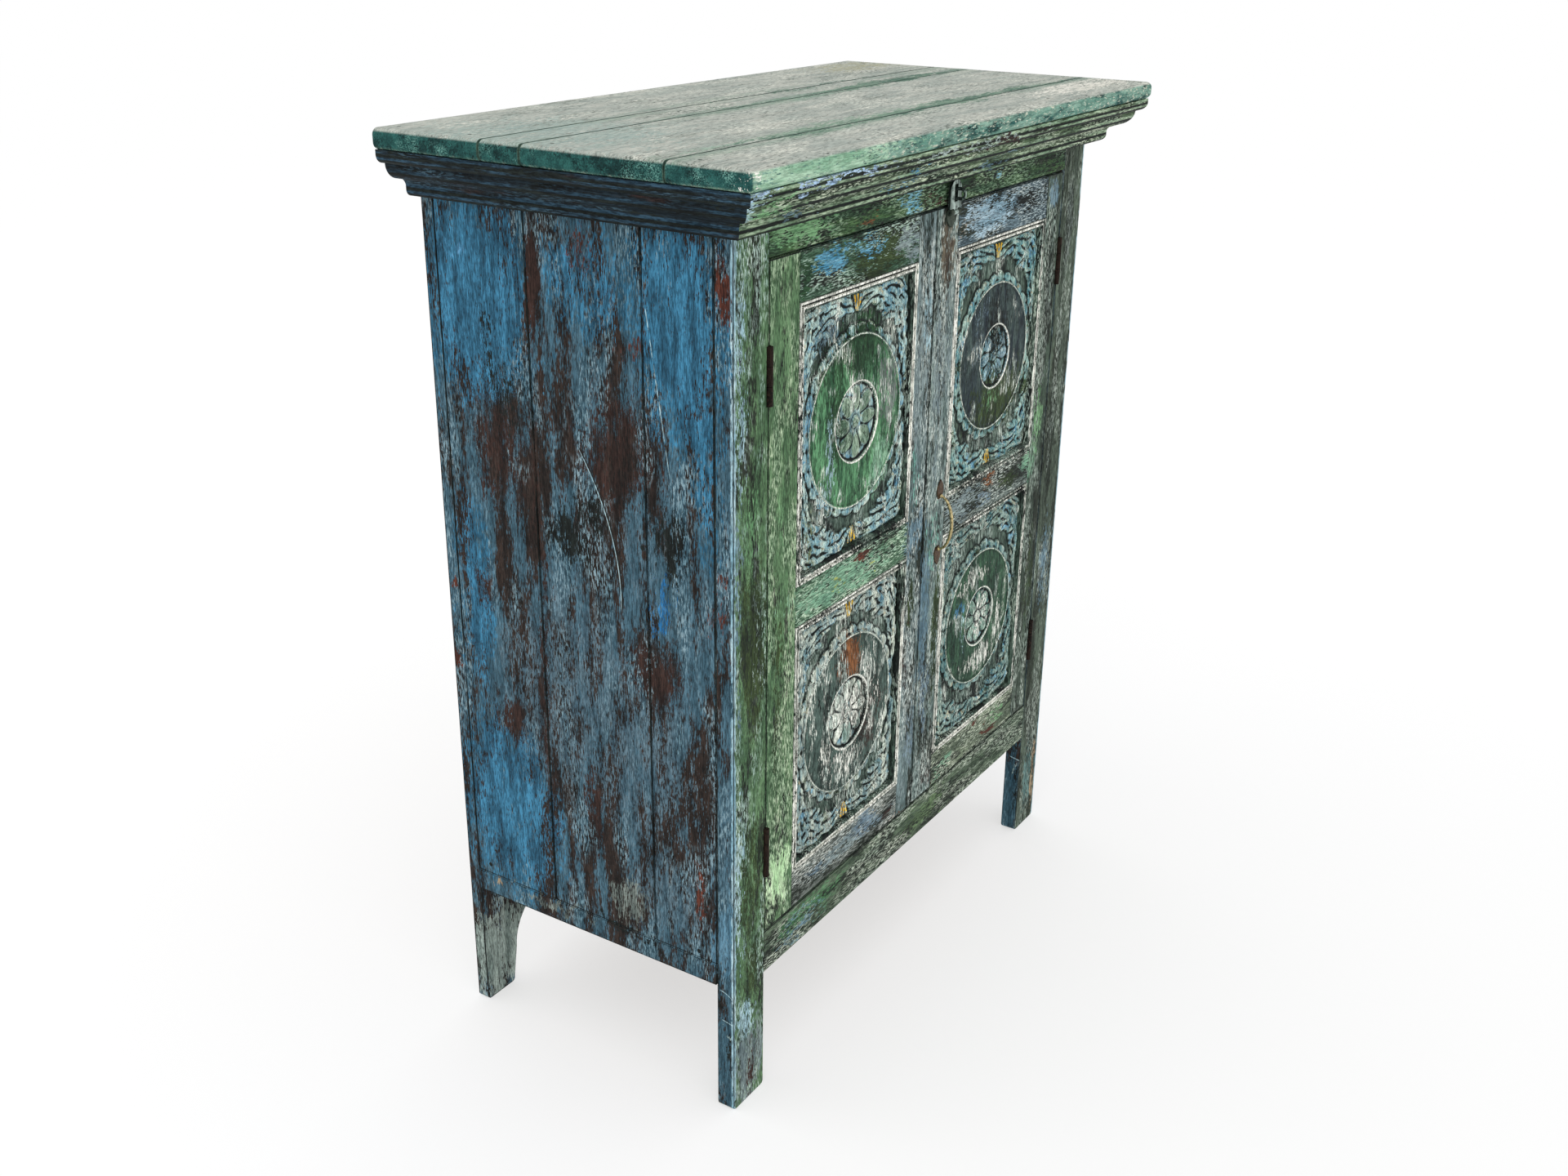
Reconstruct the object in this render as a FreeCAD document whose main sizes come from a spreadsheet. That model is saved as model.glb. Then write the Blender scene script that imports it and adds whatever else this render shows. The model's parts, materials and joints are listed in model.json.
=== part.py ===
import FreeCAD, Part
import math
import os
import Sketcher

# A painted two-door cabinet of boards, with framed doors under a mitred cornice.
# Millimetres. +X is right, +Y is back and +Z is up. The origin is on the floor, under the
# middle of the top.

SIZES = {
    # Case
    "case_width": 800,
    "case_depth": 390,
    "overall_height": 1070,
    "post_width": 60,
    "post_thickness": 23,
    "rear_post_width": 100,
    "rear_post_thickness": 16,
    "rear_foot_width": 49,
    "rear_leg_width": 56,
    "rear_leg_height": 48,
    "rear_bracket_height": 110,
    "foot_rounding": 5,
    "worn_edge": 1.2,
    # Top
    "top_thickness": 21,
    "top_overhang": 60,
    "rim_rounding": 7,
    "rear_plank_width": 138,
    "narrow_plank_width": 50,
    "middle_plank_width": 167,
    "board_seam": 0.8,
    # Cornice, from the top down
    "cornice_setback": 2,
    "cornice_fillet": 5,
    "small_round": 9,
    "small_step": 2.5,
    "ovolo_width": 12.5,
    "ovolo_height": 17,
    "middle_step": 3,
    "cove_width": 11,
    "cove_height": 8,
    "lower_fillet": 5,
    "lower_round": 7,
    # Rails of the case
    "front_leg_height": 155,
    "bottom_rail_height": 54,
    "top_rail_height": 81,
    "rail_tenon_length": 25,
    "rail_tenon_thickness": 9,
    "tenon_shoulder": 8,
    # Sides and back
    "side_thickness": 16,
    "side_leg_height": 166,
    "side_rail_height": 27,
    "side_rail_proud": 1.5,
    "front_side_board": 84,
    "middle_side_board": 145,
    "back_rail_height": 80,
    "back_board_thickness": 10,
    "back_board_lap": 20,
    # Inside
    "board_thickness": 16,
    "floor_top_height": 214,
    "shelf_top_height": 590,
    "shelf_setback": 12,
    "batten_size": 20,
    "stop_thickness": 12,
    "stop_lap": 12,
    # Doors
    "door_thickness": 22,
    "door_gap": 2,
    "hinge_gap": 1.6,
    "centre_gap": 2.5,
    "left_hinge_stile": 55,
    "left_meeting_stile": 39,
    "right_meeting_stile": 52,
    "right_hinge_stile": 45,
    "door_top_rail": 52,
    "door_middle_rail": 48,
    "door_bottom_rail": 48,
    "door_tenon_length": 28,
    "door_tenon_thickness": 8.8,
    "groove_depth": 8,
    "panel_thickness": 9,
    "panel_inset": 7,
    "panel_slack": 1,
    "groove_clearance": 0.1,
    # Carving on the panels. Each relief is a height above the panel's ground.
    "left_medallion_margin": 13,
    "right_medallion_margin": 16,
    "scallop_band": 13,
    "scallop_relief": 3,
    "bead_width": 4,
    "bead_relief": 4.8,
    "disc_relief": 3.4,
    "well_relief": 2.2,
    "rosette_margin": 11,
    "petal_relief": 5.2,
    "eye_radius": 7,
    "eye_relief": 6.2,
    "carving_gap": 1.5,
    "leaf_relief": 3,
    "leaf_margin": 6,
    "leaf_bulge": 3.5,
    "tuft_width": 15,
    "tuft_height": 19,
    # Mouldings round the panels
    "moulding_width": 10,
    "moulding_proud": 0.8,
    "moulding_channel": 3,
    "moulding_channel_depth": 2,
    "moulding_slope": 3,
    # Hinges
    "hinge_length": 60,
    "hinge_top_inset": 113,
    "hinge_bottom_inset": 103,
    "leaf_width": 20,
    "leaf_thickness": 1.6,
    "barrel_radius": 3.6,
    "hinge_pin_radius": 2,
    "pin_proud": 1,
    "knuckle_gap": 0.5,
    "running_clearance": 0.08,
    "barrel_clearance": 0.5,
    # Pull
    "pull_from_edge": 37,
    "pull_height": 585,
    "pull_span": 69,
    "pull_standoff": 19,
    "pull_bend": 14,
    "pull_wire_radius": 1.7,
    "pull_plate_width": 16,
    "pull_plate_length": 24,
    "pull_plate_blunt_width": 8,
    "pull_plate_shoulder": 8,
    "pull_plate_side_radius": 24,
    "pull_plate_thickness": 1.6,
    # Hasp and staple
    "hasp_from_edge": 29,
    "hasp_plate_width": 24,
    "hasp_plate_drop": 18,
    "hasp_plate_shoulder": 6,
    "hasp_plate_thickness": 2.5,
    "hasp_pivot_drop": 6,
    "hasp_pivot_proud": 5,
    "hasp_barrel_radius": 3.5,
    "hasp_pin_radius": 1.6,
    "hasp_leaf_width": 26,
    "hasp_leaf_length": 36,
    "hasp_leaf_thickness": 3,
    "hasp_neck_width": 9,
    "slot_start": 11.5,
    "slot_length": 19.5,
    "slot_width": 8,
    "staple_wire_radius": 2,
    "staple_span": 11,
    "staple_rise": 15,
    "staple_reach": 12,
    "staple_depth": 12,
}

SCALLOP_COUNT = 36
PETAL_COUNT = 10
BACK_BOARD_COUNT = 3
# The share of its place in a ring that a petal or a scallop fills. Scallops run into each other.
PETAL_SHARE = 0.95
SCALLOP_SHARE = 1.03
# The inner circle's part of a medallion's radius, on the left door and on the right door
LEFT_INNER_SHARE = 0.415
RIGHT_INNER_SHARE = 0.385
# The directions of a corner leaf's inner points from the panel's middle, in degrees
LEAF_DIRECTIONS = (62, 47.5, 33)
# Round forms are drawn with these many flats, to keep the model light
WIRE_FLATS = 6
HINGE_FLATS = 12
RING_FLATS = 36
EYE_FLATS = 12
# A hole this much wider than its pin has flats that clear the corners of the pin as it turns
TURNING_ROOM = 1 / math.cos(math.pi / HINGE_FLATS)
# An edge counts as a long one if it runs along at least this share of its board
LONG_SHARE = 0.8
TOLERANCE = 1e-6


class Size:
    """A length in millimetres, with the spreadsheet expression that it comes from."""

    def __init__(self, value, text):
        self.value = value
        self.text = text

    def __add__(self, other):
        other = as_size(other)
        return Size(self.value + other.value, f"({self.text} + {other.text})")

    def __sub__(self, other):
        other = as_size(other)
        return Size(self.value - other.value, f"({self.text} - {other.text})")

    def __mul__(self, other):
        other = as_size(other)
        return Size(self.value * other.value, f"({self.text} * {other.text})")

    def __truediv__(self, other):
        other = as_size(other)
        return Size(self.value / other.value, f"({self.text} / {other.text})")

    def __neg__(self):
        return self * -1

    __radd__ = __add__
    __rmul__ = __mul__


def as_size(number):
    """A Size from a Size or a plain number."""
    if isinstance(number, Size):
        return number
    return Size(float(number), f"({number})")


class Dimensions:
    """The spreadsheet's sizes, read by name."""

    def __getattr__(self, alias):
        return Size(float(SIZES[alias]), f"Sizes.{alias}")


doc = FreeCAD.newDocument("Cabinet")
sheet = doc.addObject("Spreadsheet::Sheet", "Sizes")
for row, (alias, number) in enumerate(SIZES.items(), start=1):
    sheet.set(f"A{row}", alias)
    sheet.set(f"B{row}", str(number))
    sheet.setAlias(f"B{row}", alias)
doc.recompute()
d = Dimensions()
zero = as_size(0)
nodes = []


def bind(item, path, length):
    """Tie one property of an object to a size."""
    item.setExpression(path, as_size(length).text)


def place(item, x, y, z):
    """Tie the place of an object to three sizes."""
    for axis, length in zip("xyz", (x, y, z)):
        bind(item, f"Placement.Base.{axis}", length)


def keep(item, label):
    """Name a finished piece and list it for export."""
    item.Label = label
    nodes.append(item)
    return item


def helper(type_name, name):
    """A building block that isn't a piece by itself."""
    return doc.addObject(type_name, name)


# Outlines, pads and pockets

def add_side(sketch, start, end, bend=()):
    """Draw a line, or the lesser arc that bulges to the left for turn 1 and to the right for -1.

    Gives the number of the side and which of its ends are the start and the end.
    """
    if not bend:
        return sketch.addGeometry(Part.LineSegment(start, end), False), 1, 2
    radius, turn = as_size(bend[0]).value, bend[1]
    chord = end - start
    left = FreeCAD.Vector(-chord.y, chord.x, 0).normalize()
    reach = math.sqrt(max(radius ** 2 - (chord.Length / 2) ** 2, 0))
    centre = (start + end) / 2 - left * reach * turn
    ends = (end, start) if turn == 1 else (start, end)
    angles = [math.atan2(point.y - centre.y, point.x - centre.x) for point in ends]
    circle = Part.Circle(centre, FreeCAD.Vector(0, 0, 1), radius)
    number = sketch.addGeometry(Part.ArcOfCircle(circle, *angles), False)
    return (number, 2, 1) if turn == 1 else (number, 1, 2)


def tie(sketch, number, end, x, y):
    """Tie one point of a sketch to its two sizes."""
    for kind, axis, length in (("DistanceX", -2, as_size(x)), ("DistanceY", -1, as_size(y))):
        if length.text == zero.text:
            sketch.addConstraint(Sketcher.Constraint("PointOnObject", number, end, axis))
            continue
        made = sketch.addConstraint(Sketcher.Constraint(kind, number, end, length.value))
        bind(sketch, f"Constraints[{made}]", length)


def tie_radius(sketch, number, radius):
    """Tie the radius of a circle or an arc to its size."""
    radius = as_size(radius)
    made = sketch.addConstraint(Sketcher.Constraint("Radius", number, radius.value))
    bind(sketch, f"Constraints[{made}]", radius)


def draw(sketch, corners, closed=True):
    """Draw an outline or an open path, and tie each corner and radius to its size.

    A corner is (x, y), or (x, y, radius, turn) where an arc runs from it to the next corner.
    """
    points = [FreeCAD.Vector(as_size(x).value, as_size(y).value, 0) for x, y, *bend in corners]
    if closed:
        points.append(points[0])
    sides = []
    for start, end, corner in zip(points, points[1:], corners):
        sides.append(add_side(sketch, start, end, corner[2:]))
    following = sides[1:] + sides[:1] if closed else sides[1:]
    for side, after in zip(sides, following):
        sketch.addConstraint(Sketcher.Constraint("Coincident", side[0], side[2], after[0], after[1]))
    for (number, first, last), corner in zip(sides, corners):
        tie(sketch, number, first, corner[0], corner[1])
        if len(corner) > 2:
            tie_radius(sketch, number, corner[2])
    if not closed:
        number, first, last = sides[-1]
        tie(sketch, number, last, corners[-1][0], corners[-1][1])


def rectangle(low_x, low_y, high_x, high_y):
    """The corners of an upright rectangle."""
    return [(low_x, low_y), (high_x, low_y), (high_x, high_y), (low_x, high_y)]


def flats_round(x, y, radius, count):
    """The corners of a circle that is drawn with this many flats."""
    corners = []
    for number in range(count):
        angle = 2 * math.pi * (number + 0.5) / count
        corners.append((x + radius * math.cos(angle), y + radius * math.sin(angle)))
    return corners


def origin_plane(body, role):
    """A base plane of a body, such as XY_Plane."""
    return next(item for item in body.Origin.OriginFeatures if item.Role == role)


def new_sketch(body, plane, start):
    """A sketch on a body's own base plane, moved along that plane's axis to start."""
    sketch = body.newObject("Sketcher::SketchObject", body.Name + "Sketch")
    sketch.AttachmentSupport = [(origin_plane(body, plane + "_Plane"), "")]
    sketch.MapMode = "FlatFace"
    bind(sketch, "AttachmentOffset.Base.z", -as_size(start) if plane == "XZ" else start)
    return sketch


def pad(body, plane, outlines, start, length):
    """Add material from start, by length, towards the positive axis."""
    sketch = new_sketch(body, plane, start)
    for corners in outlines:
        draw(sketch, corners)
    feature = body.newObject("PartDesign::Pad", body.Name + "Pad")
    feature.Profile = sketch
    feature.Reversed = plane == "XZ"
    bind(feature, "Length", length)
    return feature


def pocket(body, plane, outlines, start, length):
    """Remove material from start, by length, towards the positive axis."""
    sketch = new_sketch(body, plane, start)
    for corners in outlines:
        draw(sketch, corners)
    feature = body.newObject("PartDesign::Pocket", body.Name + "Pocket")
    feature.Profile = sketch
    feature.Reversed = plane != "XZ"
    bind(feature, "Length", length)
    return feature


def round_pocket(body, plane, centres, radius, start, length):
    """Remove round holes from start, by length, towards the positive axis."""
    sketch = new_sketch(body, plane, start)
    for x, y in centres:
        add_circle(sketch, x, y, radius)
    feature = body.newObject("PartDesign::Pocket", body.Name + "Hole")
    feature.Profile = sketch
    feature.Reversed = plane != "XZ"
    bind(feature, "Length", length)
    return feature


def add_circle(sketch, x, y, radius):
    """Draw a circle with its centre and radius tied to sizes."""
    centre = FreeCAD.Vector(as_size(x).value, as_size(y).value, 0)
    circle = Part.Circle(centre, FreeCAD.Vector(0, 0, 1), as_size(radius).value)
    number = sketch.addGeometry(circle, False)
    tie(sketch, number, 3, x, y)
    tie_radius(sketch, number, radius)


def long_edges(shape, axis):
    """The names of the straight edges that run along an axis for most of the shape's length."""
    names = []
    span = shape.BoundBox
    reach = {"x": span.XLength, "y": span.YLength, "z": span.ZLength}[axis]
    for index, edge in enumerate(shape.Edges, start=1):
        run = edge.Vertexes[-1].Point - edge.Vertexes[0].Point
        along = abs(getattr(run, axis))
        if along > LONG_SHARE * reach and edge.Length - along < TOLERANCE:
            names.append(f"Edge{index}")
    return names


def wear(body, feature, axis):
    """Bevel the long edges of a board a little, as wear does."""
    doc.recompute()
    bevel = body.newObject("PartDesign::Chamfer", body.Name + "Wear")
    bevel.Base = (feature, long_edges(feature.Shape, axis))
    bind(bevel, "Size", d.worn_edge)
    return bevel


def board(label, plane, corners, length, worn_axis=None):
    """A sawn board: an outline padded by its thickness or length, with its long edges worn."""
    body = helper("PartDesign::Body", "Board")
    feature = pad(body, plane, [corners], zero, length)
    if worn_axis:
        wear(body, feature, worn_axis)
    return keep(body, label)


def box(name, length_x, length_y, length_z, x, y, z):
    """A plain block."""
    block = helper("Part::Box", name)
    bind(block, "Length", length_x)
    bind(block, "Width", length_y)
    bind(block, "Height", length_z)
    place(block, x, y, z)
    return block


def hinge_rod(name, radius, length):
    """A knuckle's outside, a pin or its hole, as flats round a circle."""
    rod = helper("Part::Prism", name)
    rod.Polygon = HINGE_FLATS
    bind(rod, "Circumradius", radius)
    bind(rod, "Height", length)
    return rod


def running_hole(pin_radius):
    """The radius of a hole that turns freely round a pin."""
    return (pin_radius + d.running_clearance) * TURNING_ROOM


def group(label, items):
    """Like pieces that share one node, each still a solid of its own."""
    compound = helper("Part::Compound", "Group")
    compound.Links = items
    return keep(compound, label)


# Planes that the pieces share

half_width = d.case_width / 2
top_width = d.case_width + 2 * d.top_overhang
top_depth = d.case_depth + d.top_overhang
back = top_depth / 2
front = back - d.case_depth
case_top = d.overall_height - d.top_thickness
inside_front = front + d.post_thickness
rear_posts_front = back - d.rear_post_thickness
inside_back = rear_posts_front - d.back_board_thickness
inside_depth = inside_back - inside_front
inside_width = d.case_width - 2 * d.side_thickness
opening_width = d.case_width - 2 * d.post_width
opening_bottom = d.front_leg_height + d.bottom_rail_height
opening_top = case_top - d.top_rail_height
opening_height = opening_top - opening_bottom
door_width = (opening_width - 2 * d.hinge_gap - d.centre_gap) / 2
door_bottom = opening_bottom + d.door_gap
door_height = opening_height - 2 * d.door_gap
hinge_centres = (d.hinge_bottom_inset, door_height - d.hinge_top_inset)
pin_x = opening_width / 2 - d.hinge_gap / 2
pin_y = front - d.pin_proud
SIDES = (("left", -1), ("right", 1))


# Top: four planks with a rounded rim

def top_plank(label, width, y, front_rim):
    """One plank of the top, with its ends rounded, and its front edge too where it has the rim."""
    body = helper("PartDesign::Body", "Plank")
    feature = pad(body, "XY", [rectangle(-(top_width / 2), zero, top_width / 2, width)], zero,
                  d.top_thickness)
    doc.recompute()
    names = long_edges(feature.Shape, "y")
    if front_rim:
        names += [name for name in long_edges(feature.Shape, "x")
                  if feature.Shape.getElement(name).CenterOfMass.y < TOLERANCE]
    rim = body.newObject("PartDesign::Fillet", "Rim")
    rim.Base = (feature, names)
    bind(rim, "Radius", d.rim_rounding)
    keep(body, label)
    place(body, zero, y, case_top)


front_plank_width = (top_depth - d.rear_plank_width - d.narrow_plank_width - d.middle_plank_width
                     - 3 * d.board_seam)
plank_y = -back
for label, width in (("top_plank_front", front_plank_width),
                     ("top_plank_middle", d.middle_plank_width),
                     ("top_plank_narrow", d.narrow_plank_width),
                     ("top_plank_rear", d.rear_plank_width)):
    top_plank(label, width, plank_y, label == "top_plank_front")
    plank_y = plank_y + width + d.board_seam


# Cornice: one moulding, mitred at the front corners

projection = d.top_overhang - d.cornice_setback
cornice_height = (d.cornice_fillet + d.small_round + d.ovolo_height + d.cove_height + d.lower_fillet
                  + d.lower_round)


def cornice_corners(out):
    """The cornice's section. out is 1 or -1, the way that it projects, and y is down from the top."""
    x = projection
    y = -d.cornice_fillet
    corners = [(zero, zero), (x * out, zero), (x * out, y, d.small_round, out)]
    x = x - d.small_round
    y = y - d.small_round
    corners.append((x * out, y))
    x = x - d.small_step
    corners.append((x * out, y, d.ovolo_height, out))
    x = x - d.ovolo_width
    y = y - d.ovolo_height
    corners.append((x * out, y))
    x = x - d.middle_step
    corners.append((x * out, y, d.cove_width, -out))
    x = x - d.cove_width
    y = y - d.cove_height
    corners.append((x * out, y))
    y = y - d.lower_fillet
    corners.append((x * out, y, d.lower_round, out))
    x = x - d.lower_round
    y = y - d.lower_round
    corners.append((x * out, y))
    corners.append((zero, y))
    return corners


front_cornice = helper("PartDesign::Body", "FrontCornice")
pad(front_cornice, "YZ", [cornice_corners(-1)], -(half_width + projection),
    d.case_width + 2 * projection)
for name, side in SIDES:
    # The saw runs from the case's corner outwards, so what lies beyond the diagonal is cut off.
    run = projection * side
    pocket(front_cornice, "XY", [[(half_width * side, zero), (half_width * side + run, zero),
                                  (half_width * side + run, -projection)]],
           -cornice_height, cornice_height)
keep(front_cornice, "cornice_front")
place(front_cornice, zero, front, case_top)

for name, side in SIDES:
    side_cornice = helper("PartDesign::Body", "SideCornice")
    pad(side_cornice, "XZ", [cornice_corners(side)], -projection, d.case_depth + projection)
    run = projection * side
    pocket(side_cornice, "XY", [[(zero, zero), (run, -projection), (zero, -projection)]],
           -cornice_height, cornice_height)
    keep(side_cornice, f"cornice_{name}")
    place(side_cornice, half_width * side, front, case_top)


# Posts and the rails between them

tenon_setback = (d.post_thickness - d.rail_tenon_thickness) / 2
front_rails = (("front_bottom_rail", d.front_leg_height, d.bottom_rail_height),
               ("front_top_rail", opening_top, d.top_rail_height))

for name, side in SIDES:
    # Drawn from the outer edge inwards, with the foot's lower corners rounded.
    inward = -side
    foot = d.foot_rounding
    width = d.post_width
    post = helper("PartDesign::Body", "FrontPost")
    corners = [(foot * inward, zero), ((width - foot) * inward, zero, foot, -inward),
               (width * inward, foot), (width * inward, case_top), (zero, case_top),
               (zero, foot, foot, -inward)]
    wear(post, pad(post, "XZ", [corners], zero, d.post_thickness), "z")
    for rail_name, rail_z, rail_height in front_rails:
        pocket(post, "YZ", [rectangle(tenon_setback, rail_z + d.tenon_shoulder,
                                      tenon_setback + d.rail_tenon_thickness,
                                      rail_z + rail_height - d.tenon_shoulder)],
               width * inward - (d.rail_tenon_length if inward == 1 else zero), d.rail_tenon_length)
    for height in hinge_centres:
        low_z = door_bottom + height - d.hinge_length / 2
        pocket(post, "YZ", [rectangle(-d.worn_edge, low_z, d.leaf_width - d.pin_proud,
                                      low_z + d.hinge_length)],
               width * inward - (d.leaf_thickness if inward == 1 else zero), d.leaf_thickness)
        round_pocket(post, "XY", [((width + d.hinge_gap / 2) * inward, -d.pin_proud)],
                     d.barrel_radius + d.barrel_clearance, low_z - d.barrel_clearance,
                     d.hinge_length + 2 * d.barrel_clearance)
    keep(post, f"front_{name}_post")
    place(post, half_width * side, front, zero)

for label, rail_z, rail_height in front_rails:
    rail = helper("PartDesign::Body", "FrontRail")
    wear(rail, pad(rail, "YZ", [rectangle(zero, zero, d.post_thickness, rail_height)],
                   -(opening_width / 2), opening_width), "x")
    pad(rail, "YZ", [rectangle(tenon_setback, d.tenon_shoulder,
                               tenon_setback + d.rail_tenon_thickness,
                               rail_height - d.tenon_shoulder)],
        -(opening_width / 2 + d.rail_tenon_length), opening_width + 2 * d.rail_tenon_length)
    if label == "front_top_rail":
        staple_x = d.centre_gap / 2 + d.hasp_from_edge
        staple_z = d.staple_rise - d.hasp_pivot_drop - d.door_gap
        pocket(rail, "XZ", [flats_round(staple_x, staple_z + rise, d.staple_wire_radius, WIRE_FLATS)
                            for rise in (zero, d.staple_span)], zero, d.staple_depth)
    keep(rail, label)
    place(rail, zero, front, rail_z)

for name, side in SIDES:
    # A wide stile whose lower part is sawn to a narrow leg, with a curve where it widens.
    inward = -side
    foot = d.foot_rounding
    bracket_rise = d.rear_bracket_height - d.rear_leg_height
    bracket_run = d.rear_post_width - d.rear_leg_width
    bracket_radius = (bracket_rise * bracket_rise / bracket_run + bracket_run) / 2
    corners = [(foot * inward, zero), ((d.rear_foot_width - foot) * inward, zero, foot, -inward),
               (d.rear_foot_width * inward, foot),
               (d.rear_leg_width * inward, d.rear_leg_height, bracket_radius, inward),
               (d.rear_post_width * inward, d.rear_bracket_height),
               (d.rear_post_width * inward, case_top), (zero, case_top),
               (zero, foot, foot, -inward)]
    board(f"rear_{name}_post", "XZ", corners, d.rear_post_thickness)
    place(nodes[-1], half_width * side, rear_posts_front, zero)

back_opening = d.case_width - 2 * d.rear_post_width
for label, z in (("back_bottom_rail", d.rear_bracket_height),
                 ("back_top_rail", case_top - d.back_rail_height)):
    board(label, "YZ", rectangle(zero, zero, d.rear_post_thickness, d.back_rail_height),
          back_opening, "x")
    place(nodes[-1], -(back_opening / 2), rear_posts_front, z)


# Sides: three upright boards over a bottom rail

side_run = rear_posts_front - inside_front
rear_side_board = side_run - d.front_side_board - d.middle_side_board - 2 * d.board_seam
side_boards_bottom = d.side_leg_height + d.side_rail_height
for name, side in SIDES:
    outer = half_width * side
    inner_x = -half_width if side == -1 else half_width - d.side_thickness
    board_y = inside_front
    for label, width in (("front", d.front_side_board), ("middle", d.middle_side_board),
                         ("rear", rear_side_board)):
        board(f"{name}_side_board_{label}", "XY", rectangle(zero, zero, d.side_thickness, width),
              case_top - side_boards_bottom, "z")
        place(nodes[-1], inner_x, board_y, side_boards_bottom)
        board_y = board_y + width + d.board_seam
    # The rail stands a little proud, and its upper outer edge is rounded down to the boards.
    proud = d.side_rail_proud
    rail_top = d.side_rail_height
    corners = [(-d.side_thickness * side, zero), (proud * side, zero),
               (proud * side, rail_top - proud, proud, side), (zero, rail_top),
               (-d.side_thickness * side, rail_top)]
    rail = helper("PartDesign::Body", "SideRail")
    pad(rail, "XZ", [corners], zero, side_run)
    keep(rail, f"{name}_side_bottom_rail")
    place(rail, outer, inside_front, d.side_leg_height)


# Back boards, floor, shelf, battens and the doors' stop

back_bottom = d.rear_bracket_height + d.back_rail_height - d.back_board_lap
back_board_width = (inside_width - (BACK_BOARD_COUNT - 1) * d.board_seam) / BACK_BOARD_COUNT
for index in range(BACK_BOARD_COUNT):
    board(f"back_board_{index + 1}", "XY",
          rectangle(zero, zero, back_board_width, d.back_board_thickness),
          case_top - back_bottom, "z")
    place(nodes[-1], -(inside_width / 2) + index * (back_board_width + d.board_seam), inside_back,
          back_bottom)

shelf_depth = inside_depth - d.shelf_setback
for label, top, depth in (("floor", d.floor_top_height, inside_depth),
                          ("shelf", d.shelf_top_height, shelf_depth)):
    board_depth = (depth - d.board_seam) / 2
    board_y = inside_back - depth
    for place_name in ("front", "rear"):
        board(f"{label}_board_{place_name}", "YZ",
              rectangle(zero, zero, board_depth, d.board_thickness), inside_width, "x")
        place(nodes[-1], -(inside_width / 2), board_y, top - d.board_thickness)
        board_y = board_y + board_depth + d.board_seam

battens = []
for name, side in SIDES:
    for under in (d.floor_top_height - d.board_thickness, d.shelf_top_height - d.board_thickness,
                  case_top):
        x = -(inside_width / 2) if side == -1 else inside_width / 2 - d.batten_size
        battens.append(box("Batten", d.batten_size, inside_depth, d.batten_size,
                           x, inside_front, under - d.batten_size))
group("side_battens", battens)

stop = box("Stop", opening_width, d.stop_thickness, case_top - opening_top + d.stop_lap,
           -(opening_width / 2), inside_front, opening_top - d.stop_lap)
keep(stop, "door_stop")


# Doors

groove_width = d.panel_thickness + 2 * d.groove_clearance
groove_start = d.panel_inset - d.groove_clearance
door_tenon_setback = groove_start + (groove_width - d.door_tenon_thickness) / 2
panel_height = (door_height - d.door_top_rail - d.door_middle_rail - d.door_bottom_rail) / 2
middle_rail_z = d.door_bottom_rail + panel_height
door_rails = (("bottom_rail", zero, d.door_bottom_rail, (1,)),
              ("middle_rail", middle_rail_z, d.door_middle_rail, (0, 1)),
              ("top_rail", door_height - d.door_top_rail, d.door_top_rail, (0,)))


def door_stile(label, width, inward, x, hinged):
    """An upright of a door. inward is the way from its outer edge to the panels."""
    stile = helper("PartDesign::Body", "Stile")
    wear(stile, pad(stile, "XY", [rectangle(zero, zero, width * inward, d.door_thickness)], zero,
                    door_height), "z")
    pocket(stile, "XY", [rectangle((width - d.groove_depth) * inward, groove_start,
                                   (width + d.worn_edge) * inward, groove_start + groove_width)],
           zero, door_height)
    mortise = width * inward - (d.door_tenon_length if inward == 1 else zero)
    for rail_name, rail_z, rail_height, grooves in door_rails:
        pocket(stile, "YZ", [rectangle(door_tenon_setback, rail_z + d.tenon_shoulder,
                                       door_tenon_setback + d.door_tenon_thickness,
                                       rail_z + rail_height - d.tenon_shoulder)],
               mortise, d.door_tenon_length)
    if hinged:
        for height in hinge_centres:
            low_z = height - d.hinge_length / 2
            pocket(stile, "YZ", [rectangle(-d.worn_edge, low_z, d.leaf_width - d.pin_proud,
                                           low_z + d.hinge_length)],
                   zero if inward == 1 else -d.leaf_thickness, d.leaf_thickness)
            round_pocket(stile, "XY", [(d.hinge_gap / 2 * -inward, -d.pin_proud)],
                         d.barrel_radius + d.barrel_clearance, low_z - d.barrel_clearance,
                         d.hinge_length + 2 * d.barrel_clearance)
    keep(stile, label)
    place(stile, x, front, door_bottom)


def door_rail(label, width, rail_z, rail_height, grooves, x):
    """A rail of a door, with grooves for its panels and a tenon at each end."""
    rail = helper("PartDesign::Body", "Rail")
    wear(rail, pad(rail, "YZ", [rectangle(zero, zero, d.door_thickness, rail_height)], zero,
                   width), "x")
    for edge in grooves:
        low = rail_height - d.groove_depth if edge else -d.worn_edge
        high = rail_height + d.worn_edge if edge else d.groove_depth
        pocket(rail, "YZ", [rectangle(groove_start, low, groove_start + groove_width, high)],
               zero, width)
    pad(rail, "YZ", [rectangle(door_tenon_setback, d.tenon_shoulder,
                               door_tenon_setback + d.door_tenon_thickness,
                               rail_height - d.tenon_shoulder)],
        -d.door_tenon_length, width + 2 * d.door_tenon_length)
    keep(rail, label)
    place(rail, x, front, door_bottom + rail_z)


def polar(body, feature, count):
    """Repeat a feature round the panel's middle."""
    pattern = body.newObject("PartDesign::PolarPattern", body.Name + "Polar")
    pattern.Originals = [feature]
    y_axis = next(item for item in body.Origin.OriginFeatures if item.Role == "Y_Axis")
    pattern.Axis = (y_axis, [""])
    pattern.Angle = 360
    pattern.Occurrences = count
    body.Tip = pattern
    return pattern


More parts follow.
